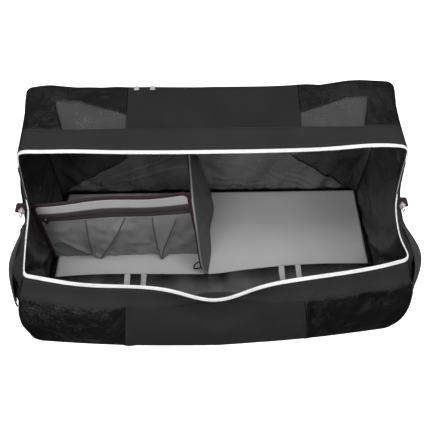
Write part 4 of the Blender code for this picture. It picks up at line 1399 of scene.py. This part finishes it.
def build_end_handle(end, mats, word):
    """The slanting grab handle: two halves, each sewn down at its own end."""
    rear, fore = np.array(GRIP_REAR), np.array(GRIP_FORE)
    run = unit(fore - rear)
    across = np.array((run[1], -run[0]))
    flat = end.sheet.points.reshape(-1, 3)
    near = flat[(np.abs(flat[:, 1] + 0.13) < 0.12) & (flat[:, 2] > 0.05) & (flat[:, 2] < 0.26)]
    fit = np.linalg.lstsq(curves(near[:, 1:]), np.abs(near[:, 0]), rcond=None)[0]
    out = 0.0080 if end.side < 0 else 0.0100

    halves = (
        ("rear", (-0.10, 0.5), (0.06, 0.30), (-0.07, 0.02), (f"{word}_handle_rear", f"{word}_handle_strap")),
        ("front", (0.5, 1.08), (0.94, 0.70), (0.98, 1.05), (f"{word}_handle_front",)),
    )
    for part, (t0, t1), (held, free), tack_ends, nodes in halves:
        t, w = np.mgrid[t0 : t1 : 40j, -1:1:12j]
        spots = rear + (fore - rear) * t[..., None] + across * (w * GRIP_WIDTH / 2)[..., None]
        arch = np.sin(pi * np.clip(t * 1.08, 0, 1)) ** 1.3
        x = end.side * (curves(spots) @ fit + 0.0034 + arch * (out - 0.0070 * w))
        cloth = Sheet(np.concatenate([x[..., None], spots], -1), end.side)
        strap = plain_panel(f"{word}_handle_{part}_strap", cloth, [mats["webbing"]], WEBBING, step=0.005)
        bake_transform(strap)
        finish_piece(strap, None, "webbing", *nodes)
        corners = []
        for share in tack_ends:
            for shift in (-0.018, 0.018):
                spot = rear + (fore - rear) * share + across * shift
                corners.append((end.side * float((curves(spot) @ fit) + 0.0052), *spot))
        lines = []
        for first, second in TACK_SIDES:
            a, b = corners[first], corners[second]
            count = max(2, int(np.linalg.norm(np.subtract(b, a)) / 0.0036))
            lines.append(flat_line(np.linspace(a, b, count), (end.side, 0, 0)))
        size, thread = (0.0030, 0.0009, 0.0009), [mats["thread"]]
        tack = beads(f"{word}_handle_{part}_tack", *joined(lines), size, thread, shape=5)
        finish_piece(tack, "shell", "webbing")


def build_back_handle(sheet, mats):
    """The rear carry handle, hanging flat from its tacks, with a sewn grip in the middle."""
    low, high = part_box("back_handle")
    y = (low.y + high.y) / 2
    x, top, bottom = high.x - CARRY_WIDTH / 2, high.z, low.z + CARRY_WIDTH / 2
    bend = 0.032
    points = [(-x, y, top), (-x, y, lerp(top, bottom, 0.4)), (-x, y, bottom + bend)]
    points += [(-x + 0.0095, y, bottom + 0.0095), (-x + bend, y, bottom)]
    points += [(-x * 0.5, y, bottom), (0, y, bottom)]
    points += mirrored(points[:-1])
    line = flat_line(line_through(points, 200), (0, 1, 0))
    strap = sweep("back_handle_strap", line, tape_profile(CARRY_WIDTH, 0.0026), [mats["webbing"]])
    finish_piece(strap, "back_handle", "webbing", "back_handle")
    middle = line_through([(x, y + 0.0012, bottom) for x in (-0.062, 0, 0.062)], 40)
    profile = tape_profile(CARRY_WIDTH + 0.007, 0.0062)
    grip = sweep("back_handle_grip", flat_line(middle, (0, 1, 0)), profile, [mats["coated"]])
    finish_piece(grip, "back_handle", "webbing")
    for number in range(1, 5):
        centre, size = box_middle(f"handle_tack_{number}")
        low, high = wall_v(0.4035), (back_v(FLAP_DEPTH - 0.014) if centre.x < 0 else wall_v(0.4125))
        u = u_at(centre.x)
        places, ways, normals, sides = frames_on(sheet, [(u, low), (u, high)], 0.0023, 0.0016)
        size, thread = (size.x, 0.0026, 0.0022), [mats["pale_thread"]]
        tack = beads(f"handle_tack_{number}_thread", places, sides, normals, ways, size, thread)
        if centre.x < 0:
            follow_flap(tack, "lining", f"handle_tack_{number}")
        else:
            finish_piece(tack, "shell", "lining", f"handle_tack_{number}")


def main():
    make_camera()
    make_studio()
    mats = make_materials()
    front = sheet_of(front_surface, 151, 45)
    back = sheet_of(back_surface, 151, 95, -1)
    ends = [End(-1, front, back), End(1, front, back)]
    centre_u = FRONT_CENTRE_HALF / (2 * HALF)

    def front_share(u, v):
        sides = smooth(centre_u * 0.8, centre_u, np.abs(u - 0.5))
        return (0.25 + 0.75 * sides) * smooth(0.90, 0.62, v) * smooth(0, 0.2, v)

    def back_share(u, v):
        wall = smooth(0.72, 0.6, v)
        side = smooth(0.2, 0.26, np.abs(u - 0.5))
        return wall * 0.9 + (1 - wall) * (0.15 + 0.6 * side) * smooth(0.90, 0.8, v)

    front = buckle(front, 0.045, 0.012, front_share, seed=1)
    back = buckle(back, 0.020, 0.006, back_share, seed=2)
    for end in ends:
        end.sheet = buckle(end.sheet, 0.035, 0.010, lambda u, v: smooth(1.0, 0.8, v), seed=4)
    build_base(front, back, mats)
    build_back(back, mats)
    build_front(front, mats)
    build_pleat(mats)
    build_divider(mats)
    build_pocket(mats)
    for end, word in zip(ends, ("left", "right")):
        build_end(end, mats, word)
        build_end_handle(end, mats, word)
    build_zip(front, back, ends, mats)
    build_hardware(mats)
    build_back_handle(back, mats)


main()
